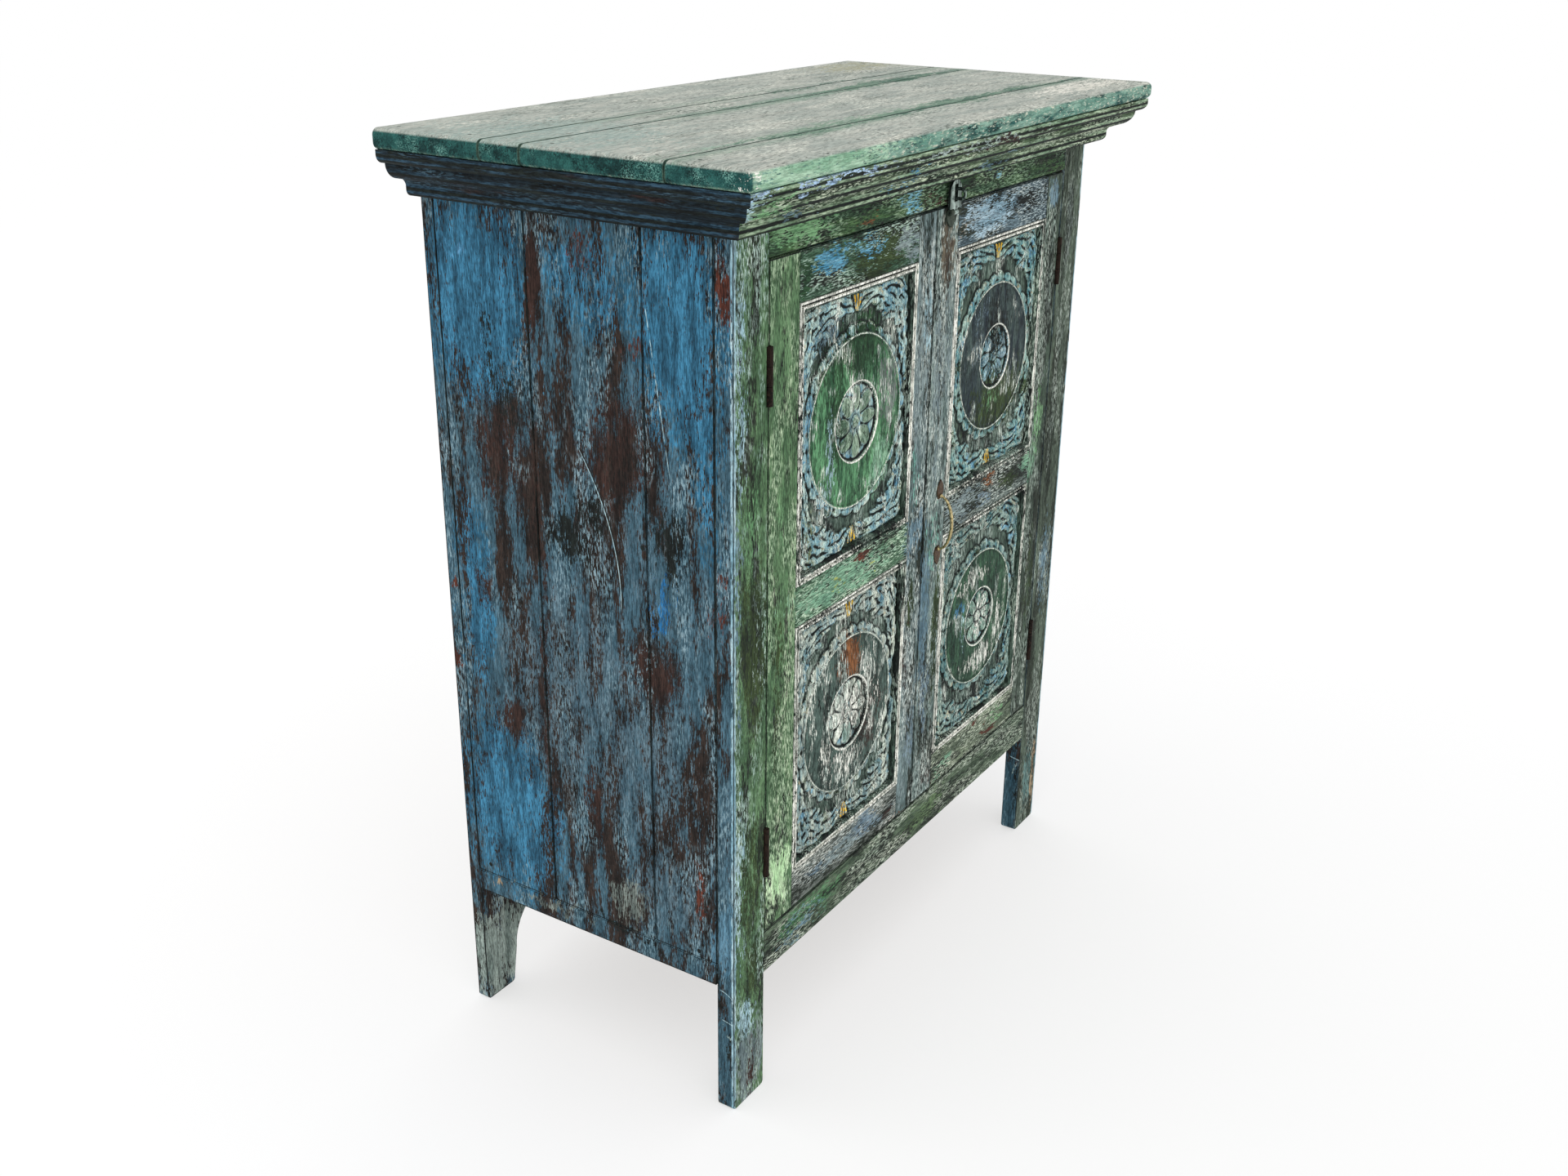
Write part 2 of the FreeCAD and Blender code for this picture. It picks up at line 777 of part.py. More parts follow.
def raised(body, relief, *outlines):
    """Carving that stands above the panel's ground by its relief."""
    sketch = new_sketch(body, "XZ", -as_size(relief))
    for outline in outlines:
        draw(sketch, outline)
    feature = body.newObject("PartDesign::Pad", "Carving")
    feature.Profile = sketch
    feature.Reversed = True
    bind(feature, "Length", relief)
    return feature


def lobe(start, reach, count, fill):
    """One of the blunt lobes that stand side by side round the middle, from start out to reach."""
    share = fill * math.sin(math.pi / count)
    # The lobe is widest where it stands back from its end by half its own width.
    widest = reach / (1 + share)
    half = widest * share
    foot = start * share
    return [(-foot, start), (foot, start), (half, widest), (half / 2, reach), (-half / 2, reach),
            (-half, widest)]


def medallion_disc(body, inner, ring):
    """A disc with a bead round its rim, and another round its sunk well."""
    raised(body, d.disc_relief, flats_round(zero, zero, ring - d.bead_width, RING_FLATS))
    for radius in (ring, inner + d.bead_width):
        raised(body, d.bead_relief, flats_round(zero, zero, radius, RING_FLATS),
               flats_round(zero, zero, radius - d.bead_width, RING_FLATS))
    pocket(body, "XZ", [flats_round(zero, zero, inner, RING_FLATS)], -d.disc_relief,
           d.disc_relief - d.well_relief)


def leaf_edge(start, end, bulge_x, bulge_y):
    """Two pointed lobes along a leaf's straight edge, as the corners after its start."""
    (start_x, start_y), (end_x, end_y) = start, end
    corners = []
    for quarter, out in ((1, 1), (2, 0), (3, 1), (4, 0)):
        corners.append((start_x + (end_x - start_x) * quarter / 4 + bulge_x * out,
                        start_y + (end_y - start_y) * quarter / 4 + bulge_y * out))
    return corners


def corner_leaf(half_x, half_z, reach):
    """A lobed leaf that fills a panel's corner, outside a circle of the given reach."""
    inner = [(reach * math.cos(math.radians(angle)), reach * math.sin(math.radians(angle)))
             for angle in LEAF_DIRECTIONS]
    foot = (half_x, inner[-1][1])
    corner = (half_x, half_z)
    top = (inner[0][0], half_z)
    return [*inner, foot, *leaf_edge(foot, corner, d.leaf_bulge, zero),
            *leaf_edge(corner, top, zero, d.leaf_bulge)]


def flipped(corners, across, up):
    """An outline mirrored from side to side if across is -1, and up and down if up is -1."""
    return [(x * across, y * up) for x, y in corners]


def carved_panel(label, width, medallion, inner, x, z):
    """A carved panel. Its origin is the middle of its ground, and the carving rises towards -Y."""
    panel = helper("PartDesign::Body", "Panel")
    tongue = d.groove_depth - d.panel_slack
    half_x = width / 2
    half_z = panel_height / 2
    pad(panel, "XZ", [rectangle(-(half_x + tongue), -(half_z + tongue), half_x + tongue,
                                half_z + tongue)], zero, d.panel_thickness)
    ring = medallion - d.scallop_band
    # The scallops start inside the ring, so that they grow out of its wall.
    polar(panel, raised(panel, d.scallop_relief,
                        lobe(ring - d.bead_width / 2, medallion, SCALLOP_COUNT, SCALLOP_SHARE)),
          SCALLOP_COUNT)
    medallion_disc(panel, inner, ring)
    polar(panel, raised(panel, d.petal_relief,
                        lobe(d.eye_radius + d.carving_gap, inner - d.rosette_margin, PETAL_COUNT,
                             PETAL_SHARE)), PETAL_COUNT)
    raised(panel, d.eye_relief, flats_round(zero, zero, d.eye_radius, EYE_FLATS))
    edge = d.moulding_width + d.leaf_margin
    leaf = corner_leaf(half_x - edge, half_z - edge, medallion + d.carving_gap)
    tuft_top = half_z - d.moulding_width - d.carving_gap
    tuft_half = d.tuft_width / 2
    tuft = [(-(tuft_half / 2), tuft_top - d.tuft_height),
            (tuft_half / 2, tuft_top - d.tuft_height), (tuft_half, tuft_top), (-tuft_half, tuft_top)]
    raised(panel, d.leaf_relief, *(flipped(leaf, across, up) for across in (1, -1) for up in (1, -1)),
           tuft, flipped(tuft, 1, -1))
    keep(panel, label)
    place(panel, x, front + d.panel_inset, z)


def moulding_strip(length, turn, x, z):
    """One mitred strip of the moulding round a panel. Unturned, it lies along the lower edge."""
    strip = helper("PartDesign::Body", "Strip")
    depth = d.panel_inset + d.moulding_proud
    width = d.moulding_width
    low = (width - d.moulding_channel - d.moulding_slope) / 2
    high = low + d.moulding_channel
    pad(strip, "YZ", [[(zero, zero), (depth, zero), (depth, width), (d.moulding_slope, width),
                       (zero, width - d.moulding_slope), (zero, high),
                       (d.moulding_channel_depth, high), (d.moulding_channel_depth, low),
                       (zero, low)]], -(length / 2), length)
    for side in (1, -1):
        end = length / 2 * side
        pocket(strip, "XZ", [[(end, zero), (end, width), (end - width * side, width)]], zero, depth)
    strip.Placement.Rotation = FreeCAD.Rotation(FreeCAD.Vector(0, 1, 0), turn)
    place(strip, x, front - d.moulding_proud, z)
    return strip


def moulding_frame(width, x, z):
    """The four strips round one panel."""
    half_x = width / 2
    half_z = panel_height / 2
    return [moulding_strip(width, 0, x, z - half_z), moulding_strip(width, 180, x, z + half_z),
            moulding_strip(panel_height, 90, x - half_x, z),
            moulding_strip(panel_height, -90, x + half_x, z)]


DOORS = (("left", 1, d.left_hinge_stile, d.left_meeting_stile, d.left_medallion_margin,
          LEFT_INNER_SHARE),
         ("right", -1, d.right_hinge_stile, d.right_meeting_stile, d.right_medallion_margin,
          RIGHT_INNER_SHARE))
for name, inward, hinge_stile, meeting_stile, medallion_margin, inner_share in DOORS:
    # inward is the way from this door's hinges to the middle of the cabinet.
    hinge_edge = (opening_width / 2 - d.hinge_gap) * -inward
    meeting_edge = d.centre_gap / 2 * -inward
    panel_width = door_width - hinge_stile - meeting_stile
    door_stile(f"{name}_door_hinge_stile", hinge_stile, inward, hinge_edge, True)
    door_stile(f"{name}_door_meeting_stile", meeting_stile, -inward, meeting_edge, False)
    inner_edge = hinge_edge + hinge_stile * inward
    rail_x = inner_edge if inward == 1 else inner_edge - panel_width
    for rail_name, rail_z, rail_height, grooves in door_rails:
        door_rail(f"{name}_door_{rail_name}", panel_width, rail_z, rail_height, grooves, rail_x)
    panel_x = rail_x + panel_width / 2
    medallion = panel_width / 2 - medallion_margin
    mouldings = []
    for level, low_z in (("upper", middle_rail_z + d.door_middle_rail),
                         ("lower", d.door_bottom_rail)):
        panel_z = door_bottom + low_z + panel_height / 2
        carved_panel(f"{name}_door_{level}_panel", panel_width, medallion,
                     medallion * inner_share, panel_x, panel_z)
        mouldings.extend(moulding_frame(panel_width, panel_x, panel_z))
    group(f"{name}_door_mouldings", mouldings)


# Hinges: two knuckles on the case leaf, one between them on the door leaf

knuckle = (d.hinge_length - 2 * d.knuckle_gap) / 3


def hinge_leaf(side, low_z, door_side):
    """One leaf, standing at low_z, let into the door's edge or the post's."""
    edge_x = (pin_x + d.hinge_gap / 2 * (-1 if door_side else 1)) * side
    towards_wood = -side if door_side else side
    plate_x = edge_x if towards_wood == 1 else edge_x - d.leaf_thickness
    clear = d.barrel_radius + d.barrel_clearance
    wraps = (knuckle + d.knuckle_gap,) if door_side else (zero, 2 * (knuckle + d.knuckle_gap))
    parts = [box("LeafPlate", d.leaf_thickness, d.leaf_width - clear, d.hinge_length, plate_x,
                 pin_y + clear, low_z)]
    for rise in wraps:
        parts.append(box("LeafTab", d.leaf_thickness, clear, knuckle, plate_x, pin_y, low_z + rise))
        barrel = hinge_rod("Knuckle", d.barrel_radius, knuckle)
        place(barrel, pin_x * side, pin_y, low_z + rise)
        parts.append(barrel)
    solid = helper("Part::MultiFuse", "LeafSolid")
    solid.Shapes = parts
    bore_radius = running_hole(d.hinge_pin_radius) if door_side else d.hinge_pin_radius
    bore = hinge_rod("Bore", bore_radius, d.hinge_length)
    place(bore, pin_x * side, pin_y, low_z)
    leaf = helper("Part::Cut", "HingeLeaf")
    leaf.Base = solid
    leaf.Tool = bore
    return leaf


case_leaves = []
pins = []
for name, side in SIDES:
    door_leaves = []
    for height in hinge_centres:
        low_z = door_bottom + height - d.hinge_length / 2
        case_leaves.append(hinge_leaf(side, low_z, False))
        door_leaves.append(hinge_leaf(side, low_z, True))
        pin = hinge_rod("HingePin", d.hinge_pin_radius, d.hinge_length)
        place(pin, pin_x * side, pin_y, low_z)
        pins.append(pin)
    group(f"{name}_door_hinge_leaves", door_leaves)
group("hinge_case_leaves", case_leaves)
group("hinge_pins", pins)


# Pull: a bent bow on two pointed plates

pull_x = d.centre_gap / 2 + d.pull_from_edge


def bent_wire(label, route, wire_radius):
    """A wire along a route in the YZ plane, drawn from its upper end to its lower one."""
    body = helper("PartDesign::Body", "Wire")
    path = new_sketch(body, "YZ", zero)
    draw(path, route, closed=False)
    section = new_sketch(body, "XZ", route[0][0])
    draw(section, flats_round(zero, route[0][1], wire_radius, WIRE_FLATS))
    pipe = body.newObject("PartDesign::AdditivePipe", "Bow")
    pipe.Profile = section
    pipe.Spine = (path, [f"Edge{number + 1}" for number in range(path.GeometryCount)])
    keep(body, label)
    return body


foot_y = -d.pull_plate_thickness
elbow_y = d.pull_bend - d.pull_standoff
half = d.pull_span / 2
low = half - d.pull_bend
bow = bent_wire("pull_bow",
                [(foot_y, half), (elbow_y, half, d.pull_bend, -1), (-d.pull_standoff, low),
                 (-d.pull_standoff, -low, d.pull_bend, -1), (elbow_y, -half), (foot_y, -half)],
                d.pull_wire_radius)
place(bow, pull_x, front, d.pull_height)

plates = []
for turn in (1, -1):
    # The plate's blunt end is under the bow, and its point is away from it.
    plate = helper("PartDesign::Body", "PullPlate")
    half = d.pull_plate_width / 2
    blunt_half = d.pull_plate_blunt_width / 2
    blunt = (d.pull_span / 2 - 2 * d.pull_wire_radius) * turn
    wide = blunt + d.pull_plate_shoulder * turn
    tip = blunt + d.pull_plate_length * turn
    corners = [(-blunt_half, blunt), (blunt_half, blunt),
               (half, wide, d.pull_plate_side_radius, -turn),
               (zero, tip, d.pull_plate_side_radius, -turn), (-half, wide)]
    pad(plate, "XZ", [corners], -d.pull_plate_thickness, d.pull_plate_thickness)
    place(plate, pull_x, front, d.pull_height)
    plates.append(plate)
group("pull_plates", plates)


# Hasp: a pointed plate with two knuckles, and a slotted leaf that lies over the rail's staple

hasp_x = d.centre_gap / 2 + d.hasp_from_edge
hasp_y = front - d.hasp_pivot_proud
hasp_z = door_bottom + door_height - d.hasp_pivot_drop
end_knuckle = (d.hasp_plate_width - d.hasp_neck_width) / 2 - d.knuckle_gap


def on_hasp_axis(item, x):
    """Turn an upright item to lie along X on the hasp's axis, from x."""
    item.Placement.Rotation = FreeCAD.Rotation(FreeCAD.Vector(0, 1, 0), 90)
    place(item, x, hasp_y, hasp_z)
    return item


def hasp_rod(name, radius):
    """A rod as long as the hasp's plate is wide."""
    return on_hasp_axis(hinge_rod(name, radius, d.hasp_plate_width),
                        hasp_x - d.hasp_plate_width / 2)


def solid_of(name, parts, bore):
    """Fuse the parts and drill them."""
    fused = helper("Part::MultiFuse", name + "Solid")
    fused.Shapes = parts
    cut = helper("Part::Cut", name)
    cut.Base = fused
    cut.Tool = bore
    return cut


half = d.hasp_plate_width / 2
notch_half = half - end_knuckle
clear = d.hasp_barrel_radius + d.knuckle_gap
plate_body = helper("PartDesign::Body", "HaspPointedPlate")
# The plate is notched between its knuckles, for the leaf's own knuckle to turn in.
pad(plate_body, "XZ",
    [[(-half, zero), (-half, -d.hasp_plate_shoulder, d.hasp_plate_width, -1),
      (zero, -d.hasp_plate_drop, d.hasp_plate_width, -1), (half, -d.hasp_plate_shoulder),
      (half, zero), (notch_half, zero), (notch_half, -clear), (-notch_half, -clear),
      (-notch_half, zero)]], -d.hasp_plate_thickness, d.hasp_plate_thickness)
place(plate_body, hasp_x, front, hasp_z)
plate_parts = [plate_body]
for start in (-half, half - end_knuckle):
    block = hinge_rod("HaspKnuckle", d.hasp_barrel_radius, end_knuckle)
    plate_parts.append(on_hasp_axis(block, hasp_x + start))
keep(solid_of("HaspPlate", plate_parts, hasp_rod("HaspPlateBore", d.hasp_pin_radius)), "hasp_plate")

leaf_half = d.hasp_leaf_width / 2
neck_half = d.hasp_neck_width / 2
shoulder = d.hasp_leaf_length - leaf_half
slot_half = d.slot_width / 2
leaf_body = helper("PartDesign::Body", "HaspLeafPlate")
pad(leaf_body, "XZ", [[(-neck_half, zero), (neck_half, zero), (neck_half, clear),
                       (leaf_half, clear), (leaf_half, shoulder, leaf_half, -1),
                       (zero, d.hasp_leaf_length, leaf_half, -1), (-leaf_half, shoulder),
                       (-leaf_half, clear), (-neck_half, clear)]],
    -(d.hasp_leaf_thickness / 2), d.hasp_leaf_thickness)
pocket(leaf_body, "XZ", [rectangle(-slot_half, d.slot_start, slot_half,
                                   d.slot_start + d.slot_length)],
       -(d.hasp_leaf_thickness / 2), d.hasp_leaf_thickness)
place(leaf_body, hasp_x, hasp_y, hasp_z)
leaf_knuckle = on_hasp_axis(hinge_rod("LeafKnuckle", d.hasp_barrel_radius, d.hasp_neck_width),
                            hasp_x - neck_half)
keep(solid_of("HaspLeaf", [leaf_body, leaf_knuckle],
              hasp_rod("HaspLeafBore", running_hole(d.hasp_pin_radius))),
     "hasp_leaf")
keep(hasp_rod("HaspPin", d.hasp_pin_radius), "hasp_pin")

half = d.staple_span / 2
staple = bent_wire("hasp_staple",
                   [(d.staple_depth, half), (-d.staple_reach, half, half, -1),
                    (-(d.staple_reach + half), zero, half, -1), (-d.staple_reach, -half),
                    (d.staple_depth, -half)],
                   d.staple_wire_radius)
place(staple, hasp_x, front, hasp_z + d.staple_rise + d.staple_span / 2)


# Check every object before anything is written

doc.recompute()
faults = []
for item in doc.Objects:
    if "Invalid" in item.State or "Error" in item.State:
        faults.append(f"{item.Label} ({item.Name}) is {item.State}")
    if item.TypeId == "PartDesign::Pocket":
        if item.Shape.Volume > item.BaseFeature.Shape.Volume - 1e-3:
            faults.append(f"{item.Name} cuts nothing")
for item in nodes:
    if item.Shape.isNull() or not item.Shape.isValid():
        faults.append(f"{item.Label} has no valid shape")
if len({item.Label for item in nodes}) != len(nodes):
    faults.append("two pieces share a name")
if faults:
    raise RuntimeError("\n".join(faults))

os.makedirs("parts", exist_ok=True)
for item in nodes:
    item.Shape.exportStep(os.path.join("parts", item.Label + ".step"))
print(len(nodes), "pieces written")
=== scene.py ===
import math
from functools import cached_property

import bpy
import numpy as np
from mathutils import Matrix, Vector
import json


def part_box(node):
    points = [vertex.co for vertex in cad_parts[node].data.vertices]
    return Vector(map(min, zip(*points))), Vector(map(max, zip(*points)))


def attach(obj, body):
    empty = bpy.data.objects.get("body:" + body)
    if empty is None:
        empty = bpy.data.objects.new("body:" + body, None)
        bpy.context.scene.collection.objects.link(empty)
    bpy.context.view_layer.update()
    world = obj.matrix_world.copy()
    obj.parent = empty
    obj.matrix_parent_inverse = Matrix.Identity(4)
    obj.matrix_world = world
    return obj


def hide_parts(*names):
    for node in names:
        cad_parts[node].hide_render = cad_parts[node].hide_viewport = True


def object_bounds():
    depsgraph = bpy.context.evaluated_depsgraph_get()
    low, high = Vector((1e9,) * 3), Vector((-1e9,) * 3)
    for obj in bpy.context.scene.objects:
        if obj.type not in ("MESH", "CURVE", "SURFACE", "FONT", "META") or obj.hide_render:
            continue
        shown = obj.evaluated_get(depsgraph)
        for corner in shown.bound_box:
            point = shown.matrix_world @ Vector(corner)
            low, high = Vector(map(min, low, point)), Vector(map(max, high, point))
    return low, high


# The looks of a painted two-door cabinet. Metres, in the CAD's frame: +X right, +Y back, +Z up.

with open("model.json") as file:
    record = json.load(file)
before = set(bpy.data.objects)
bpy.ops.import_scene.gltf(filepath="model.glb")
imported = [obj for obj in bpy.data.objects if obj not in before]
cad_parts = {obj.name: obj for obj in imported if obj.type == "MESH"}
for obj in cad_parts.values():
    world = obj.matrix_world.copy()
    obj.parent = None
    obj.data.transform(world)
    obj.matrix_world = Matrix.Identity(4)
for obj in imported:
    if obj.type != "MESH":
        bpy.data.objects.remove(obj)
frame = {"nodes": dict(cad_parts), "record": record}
cad_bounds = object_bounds()
nodes = frame["nodes"]
MM = 0.001
FAR = 1.0
AXES = "xyz"


# Camera, floor and light

CAMERA_PLACE = Vector((-1.6432, -1.0194, 1.2863))
CAMERA_YAW = 57.40
CAMERA_PITCH = 22.84
CAMERA_ROLL = 0.68
CAMERA_LENS = 37.83
FLOOR_COLOUR = (0.45, 0.45, 0.45, 1)
FLOOR_GLOW = 0.55
SKY_STRENGTH = 1.0

# The name, place and power in watts of each lamp, and where both of them point

LAMPS = (("key", (-2.2, -1.2, 3.2), 12), ("rim", (-1.5, 2.6, 2.8), 8))
LAMP_SIZE = 2.5
LAMP_AIM = Vector((0, 0, 0.5))


def make_camera():
    """The photograph's camera. Yaw 0 looks along +Y, and pitch is downwards, in degrees."""
    yaw, pitch, roll = (math.radians(angle) for angle in (CAMERA_YAW, CAMERA_PITCH, CAMERA_ROLL))
    forward = Vector((math.sin(yaw) * math.cos(pitch), math.cos(yaw) * math.cos(pitch),
                      -math.sin(pitch)))
    level = Vector((math.cos(yaw), -math.sin(yaw), 0))
    upright = level.cross(forward)
    right = level * math.cos(roll) + upright * math.sin(roll)
    up = upright * math.cos(roll) - level * math.sin(roll)
    data = bpy.data.cameras.new("Camera")
    data.lens = CAMERA_LENS
    data.sensor_width = 36
    data.clip_start = 0.05
    data.clip_end = 50
    camera = bpy.data.objects.new("Camera", data)
    camera.matrix_world = Matrix.Translation(CAMERA_PLACE) @ Matrix(
        (right, up, -forward)).transposed().to_4x4()
    bpy.context.scene.collection.objects.link(camera)
    bpy.context.scene.camera = camera


def add_mesh(name, vertices, faces, smooth=False):
    """A new object from its corners and faces."""
    mesh = bpy.data.meshes.new(name)
    mesh.from_pydata([tuple(corner) for corner in vertices], [], faces)
    mesh.validate()
    mesh.update()
    for face in mesh.polygons:
        face.use_smooth = smooth
    thing = bpy.data.objects.new(name, mesh)
    bpy.context.scene.collection.objects.link(thing)
    return thing


def make_floor():
    """A wide pale floor that is white to the camera and keeps the cabinet's shadow."""
    reach = 12
    floor = add_mesh("floor", [(-reach, -reach, 0), (reach, -reach, 0), (reach, reach, 0),
                               (-reach, reach, 0)], [(0, 1, 2, 3)])
    material = bpy.data.materials.new("floor_white")
    material.use_nodes = True
    shader = material.node_tree.nodes["Principled BSDF"]
    for name, value in (("Base Color", FLOOR_COLOUR), ("Roughness", 0.9), ("Specular IOR Level", 0),
                        ("Emission Color", (1, 1, 1, 1)), ("Emission Strength", FLOOR_GLOW)):
        shader.inputs[name].default_value = value
    floor.data.materials.append(material)


def make_light():
    """An even white sky, a soft lamp in front of the cabinet and a weaker one behind it."""
    world = bpy.data.worlds.new("Studio")
    world.use_nodes = True
    sky = world.node_tree.nodes["Background"]
    sky.inputs["Color"].default_value = (1, 1, 1, 1)
    sky.inputs["Strength"].default_value = SKY_STRENGTH
    bpy.context.scene.world = world
    bpy.context.scene.view_settings.view_transform = "Standard"
    for name, place, power in LAMPS:
        data = bpy.data.lights.new(name, "AREA")
        data.shape = "DISK"
        data.size = LAMP_SIZE
        data.energy = power
        lamp = bpy.data.objects.new(name, data)
        lamp.location = place
        towards = LAMP_AIM - lamp.location
        lamp.rotation_euler = towards.to_track_quat("-Z", "Y").to_euler()
        bpy.context.scene.collection.objects.link(lamp)


# Materials: coats of paint, each laid over the last through a mask

def srgb(code):
    """A linear colour from a hexadecimal one, such as 3f6a8c."""
    parts = [int(code[at:at + 2], 16) / 255 for at in (0, 2, 4)]
    linear = [part / 12.92 if part <= 0.04045 else ((part + 0.055) / 1.055) ** 2.4
              for part in parts]
    return (*linear, 1.0)


# How far apart the noises of one material are taken, and how far each kind strays from 0.5

SEED_STEP = 7.31
NOISE_RANGE = 0.42
BREAKS_RANGE = 0.24
WORN_RANGE = 0.25

# How fast a patch thins out, how many half widths its specks reach, and how sharp their edges are

FADE = 0.17
SPREAD = 1.3
PATCH_EDGE = (-0.012, 0.018)


class Coats:
    """A material that is painted coat by coat. Masks are node outputs from 0 to 1."""

    def __init__(self, name, ground, grain, roughness=0.72, metallic=0.0):
        self.material = bpy.data.materials.new(name)
        self.material.use_nodes = True
        self.tree = self.material.node_tree
        self.tree.nodes.clear()
        self.grain = AXES.index(grain)
        self.shading = {"Roughness": roughness, "Metallic": metallic, "Specular IOR Level": 0.12}
        self.place = self.add("ShaderNodeTexCoord", {}).outputs["Object"]
        self.seed = 0
        self.height = 0.0
        self.colour = self.tones(ground)

    def add(self, kind, inputs, **settings):
        """A new node. Its inputs are linked to other nodes' outputs or set to plain values."""
        node = self.tree.nodes.new(kind)
        for key, value in settings.items():
            setattr(node, key, value)
        for key, value in inputs.items():
            if isinstance(value, bpy.types.NodeSocket):
                self.tree.links.new(value, node.inputs[key])
            else:
                node.inputs[key].default_value = value
        return node

    def sum(self, operation, *values):
        """The result of one piece of arithmetic."""
        return self.add("ShaderNodeMath", dict(enumerate(values)), operation=operation).outputs[0]

    def vector(self, operation, *values, output=0):
        """The result of one piece of vector arithmetic."""
        node = self.add("ShaderNodeVectorMath", dict(enumerate(values)), operation=operation)
        return node.outputs[output]

    def rise(self, value, low, high):
        """0 below low and 1 above high, with a smooth step between. It falls if low is above high."""
        if low > high:
            return self.minus(1.0, self.rise(value, high, low))
        node = self.add("ShaderNodeMapRange", {"Value": value, "From Min": low, "From Max": high},
                        interpolation_type="SMOOTHSTEP")
        return node.outputs["Result"]

    def noise(self, size, run, detail, rough):
        """Noise round 0.5 whose marks are size across and run times as long along the grain."""
        self.seed += 1
        scales = [1 / size] * 3
        scales[self.grain] /= run
        moved = self.vector("MULTIPLY_ADD", self.place, scales, (self.seed * SEED_STEP,) * 3)
        return self.add("ShaderNodeTexNoise", {"Vector": moved, "Scale": 1.0, "Detail": detail,
                                               "Roughness": rough}).outputs[0]

    def flakes(self, cover, size, run=1.0, edge=0.02, detail=5.0):
        """Ragged islands that cover about this share of the surface."""
        middle = 0.5 + (0.5 - cover) * NOISE_RANGE
        return self.rise(self.noise(size, run, detail, 0.65), middle - edge, middle + edge)

    @cached_property
    def wavering(self):
        """The place, moved about by noise, so that what follows it has a ragged outline."""
        colour = self.noise(0.03, 3, 5, 0.75).node.outputs[1]
        offset = self.vector("MULTIPLY", self.vector("SUBTRACT", colour, (0.5,) * 3), (0.09,) * 3)
        return self.vector("ADD", self.place, offset)

    @cached_property
    def breaks(self):
        """Fine noise that paint flakes follow, round 0.5."""
        fine = self.noise(0.0016, 5, 3, 0.6)
        middling = self.noise(0.006, 4, 4, 0.65)
        coarse = self.noise(0.024, 3, 4, 0.65)
        finer = self.sum("MULTIPLY_ADD", fine, 0.5, self.sum("MULTIPLY", middling, 0.32))
        return self.sum("MULTIPLY_ADD", coarse, 0.18, finer)

    @cached_property
    def specks(self):
        """Noise as fine as grains of dirt, round 0.5."""
        return self.noise(0.0015, 5.5, 3, 0.65)

    @cached_property
    def drift(self):
        """Slow noise, from 0 to 1, that the two colours of a pair follow."""
        return self.rise(self.noise(0.012, 6, 5, 0.65), 0.36, 0.64)

    def blob(self, centre, reach, cover):
        """A patch round a point that covers this share and thins out to specks away from it."""
        scales = [1 / length if length else 0.0 for length in reach]
        shift = [-middle * scale for middle, scale in zip(centre, scales)]
        away = self.vector("MULTIPLY_ADD", self.wavering, scales, shift)
        distance = self.vector("LENGTH", away, output=1)
        # The patch is where the flakes' noise is above a level that rises outwards.
        level = self.sum("MULTIPLY_ADD", self.either(distance, 0.5), FADE,
                         0.5 + (0.5 - cover) * BREAKS_RANGE - FADE / 2)
        return self.rise(self.minus(self.breaks, level), *PATCH_EDGE)

    def chain(self, operation, values):
        """One piece of arithmetic over all the values in turn."""
        result = values[0]
        for value in values[1:]:
            result = self.sum(operation, result, value)
        return result

    def both(self, *masks):
        """Where all the masks are."""
        return self.chain("MULTIPLY", masks)

    def either(self, *masks):
        """Where any of the masks is."""
        return self.chain("MAXIMUM", masks)

    def least(self, *values):
        """The least of the values."""
        return self.chain("MINIMUM", values)

    def minus(self, first, second):
        """The first value less the second."""
        return self.sum("SUBTRACT", first, second)

    def flaked(self, mask, *flakes):
        """What is left of a mask whose paint has flaked."""
        return self.both(mask, self.flakes(*flakes))

    def distance(self, first, second):
        """How far apart two values are."""
        return self.sum("ABSOLUTE", self.minus(first, second))

    def band(self, length, start, full, thin, end):
        """Where a length is between start and end, and wholly from full to thin, in millimetres."""
        return self.both(self.rise(length, start * MM, full * MM), self.rise(length, end * MM, thin * MM))

    def mix(self, share, low, high):
        """Blend two colours."""
        return self.add("ShaderNodeMix", {0: share, 6: low, 7: high}, data_type="RGBA").outputs[2]

    def tones(self, codes):
        """Two colours that run into each other along the grain."""
        return self.mix(self.drift, srgb(codes[0]), srgb(codes[1]))

    def coat(self, codes, mask, thickness=0.0):
        """Lay a colour over the ones below where the mask is, thickness millimetres deep."""
        self.colour = self.mix(mask, self.colour, self.tones(codes))
        if thickness:
            self.height = self.sum("MULTIPLY_ADD", mask, thickness, self.height)

    def patches(self, node, plane, rows, within=None):
        """Broken patches of paint on one face. A row is (colours, a, b, half_a, half_b, cover).

        a and b run along the two axes that plane names, and everything is in millimetres.
        Rows that the node doesn't reach are left out.
        """
        low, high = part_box(node)
        axes = [AXES.index(name) for name in plane]
        for codes, *place, half_a, half_b, cover in rows:
            middle = [0.0, 0.0, 0.0]
            reach = [0.0, 0.0, 0.0]
            for axis, centre, half in zip(axes, place, (half_a, half_b)):
                middle[axis] = centre * MM
                reach[axis] = half * MM
            if all(low[axis] - SPREAD * reach[axis] < middle[axis] < high[axis] + SPREAD * reach[axis]
                   for axis in axes):
                mask = self.blob(middle, reach, cover)
                self.coat(codes, self.both(mask, within) if within else mask)

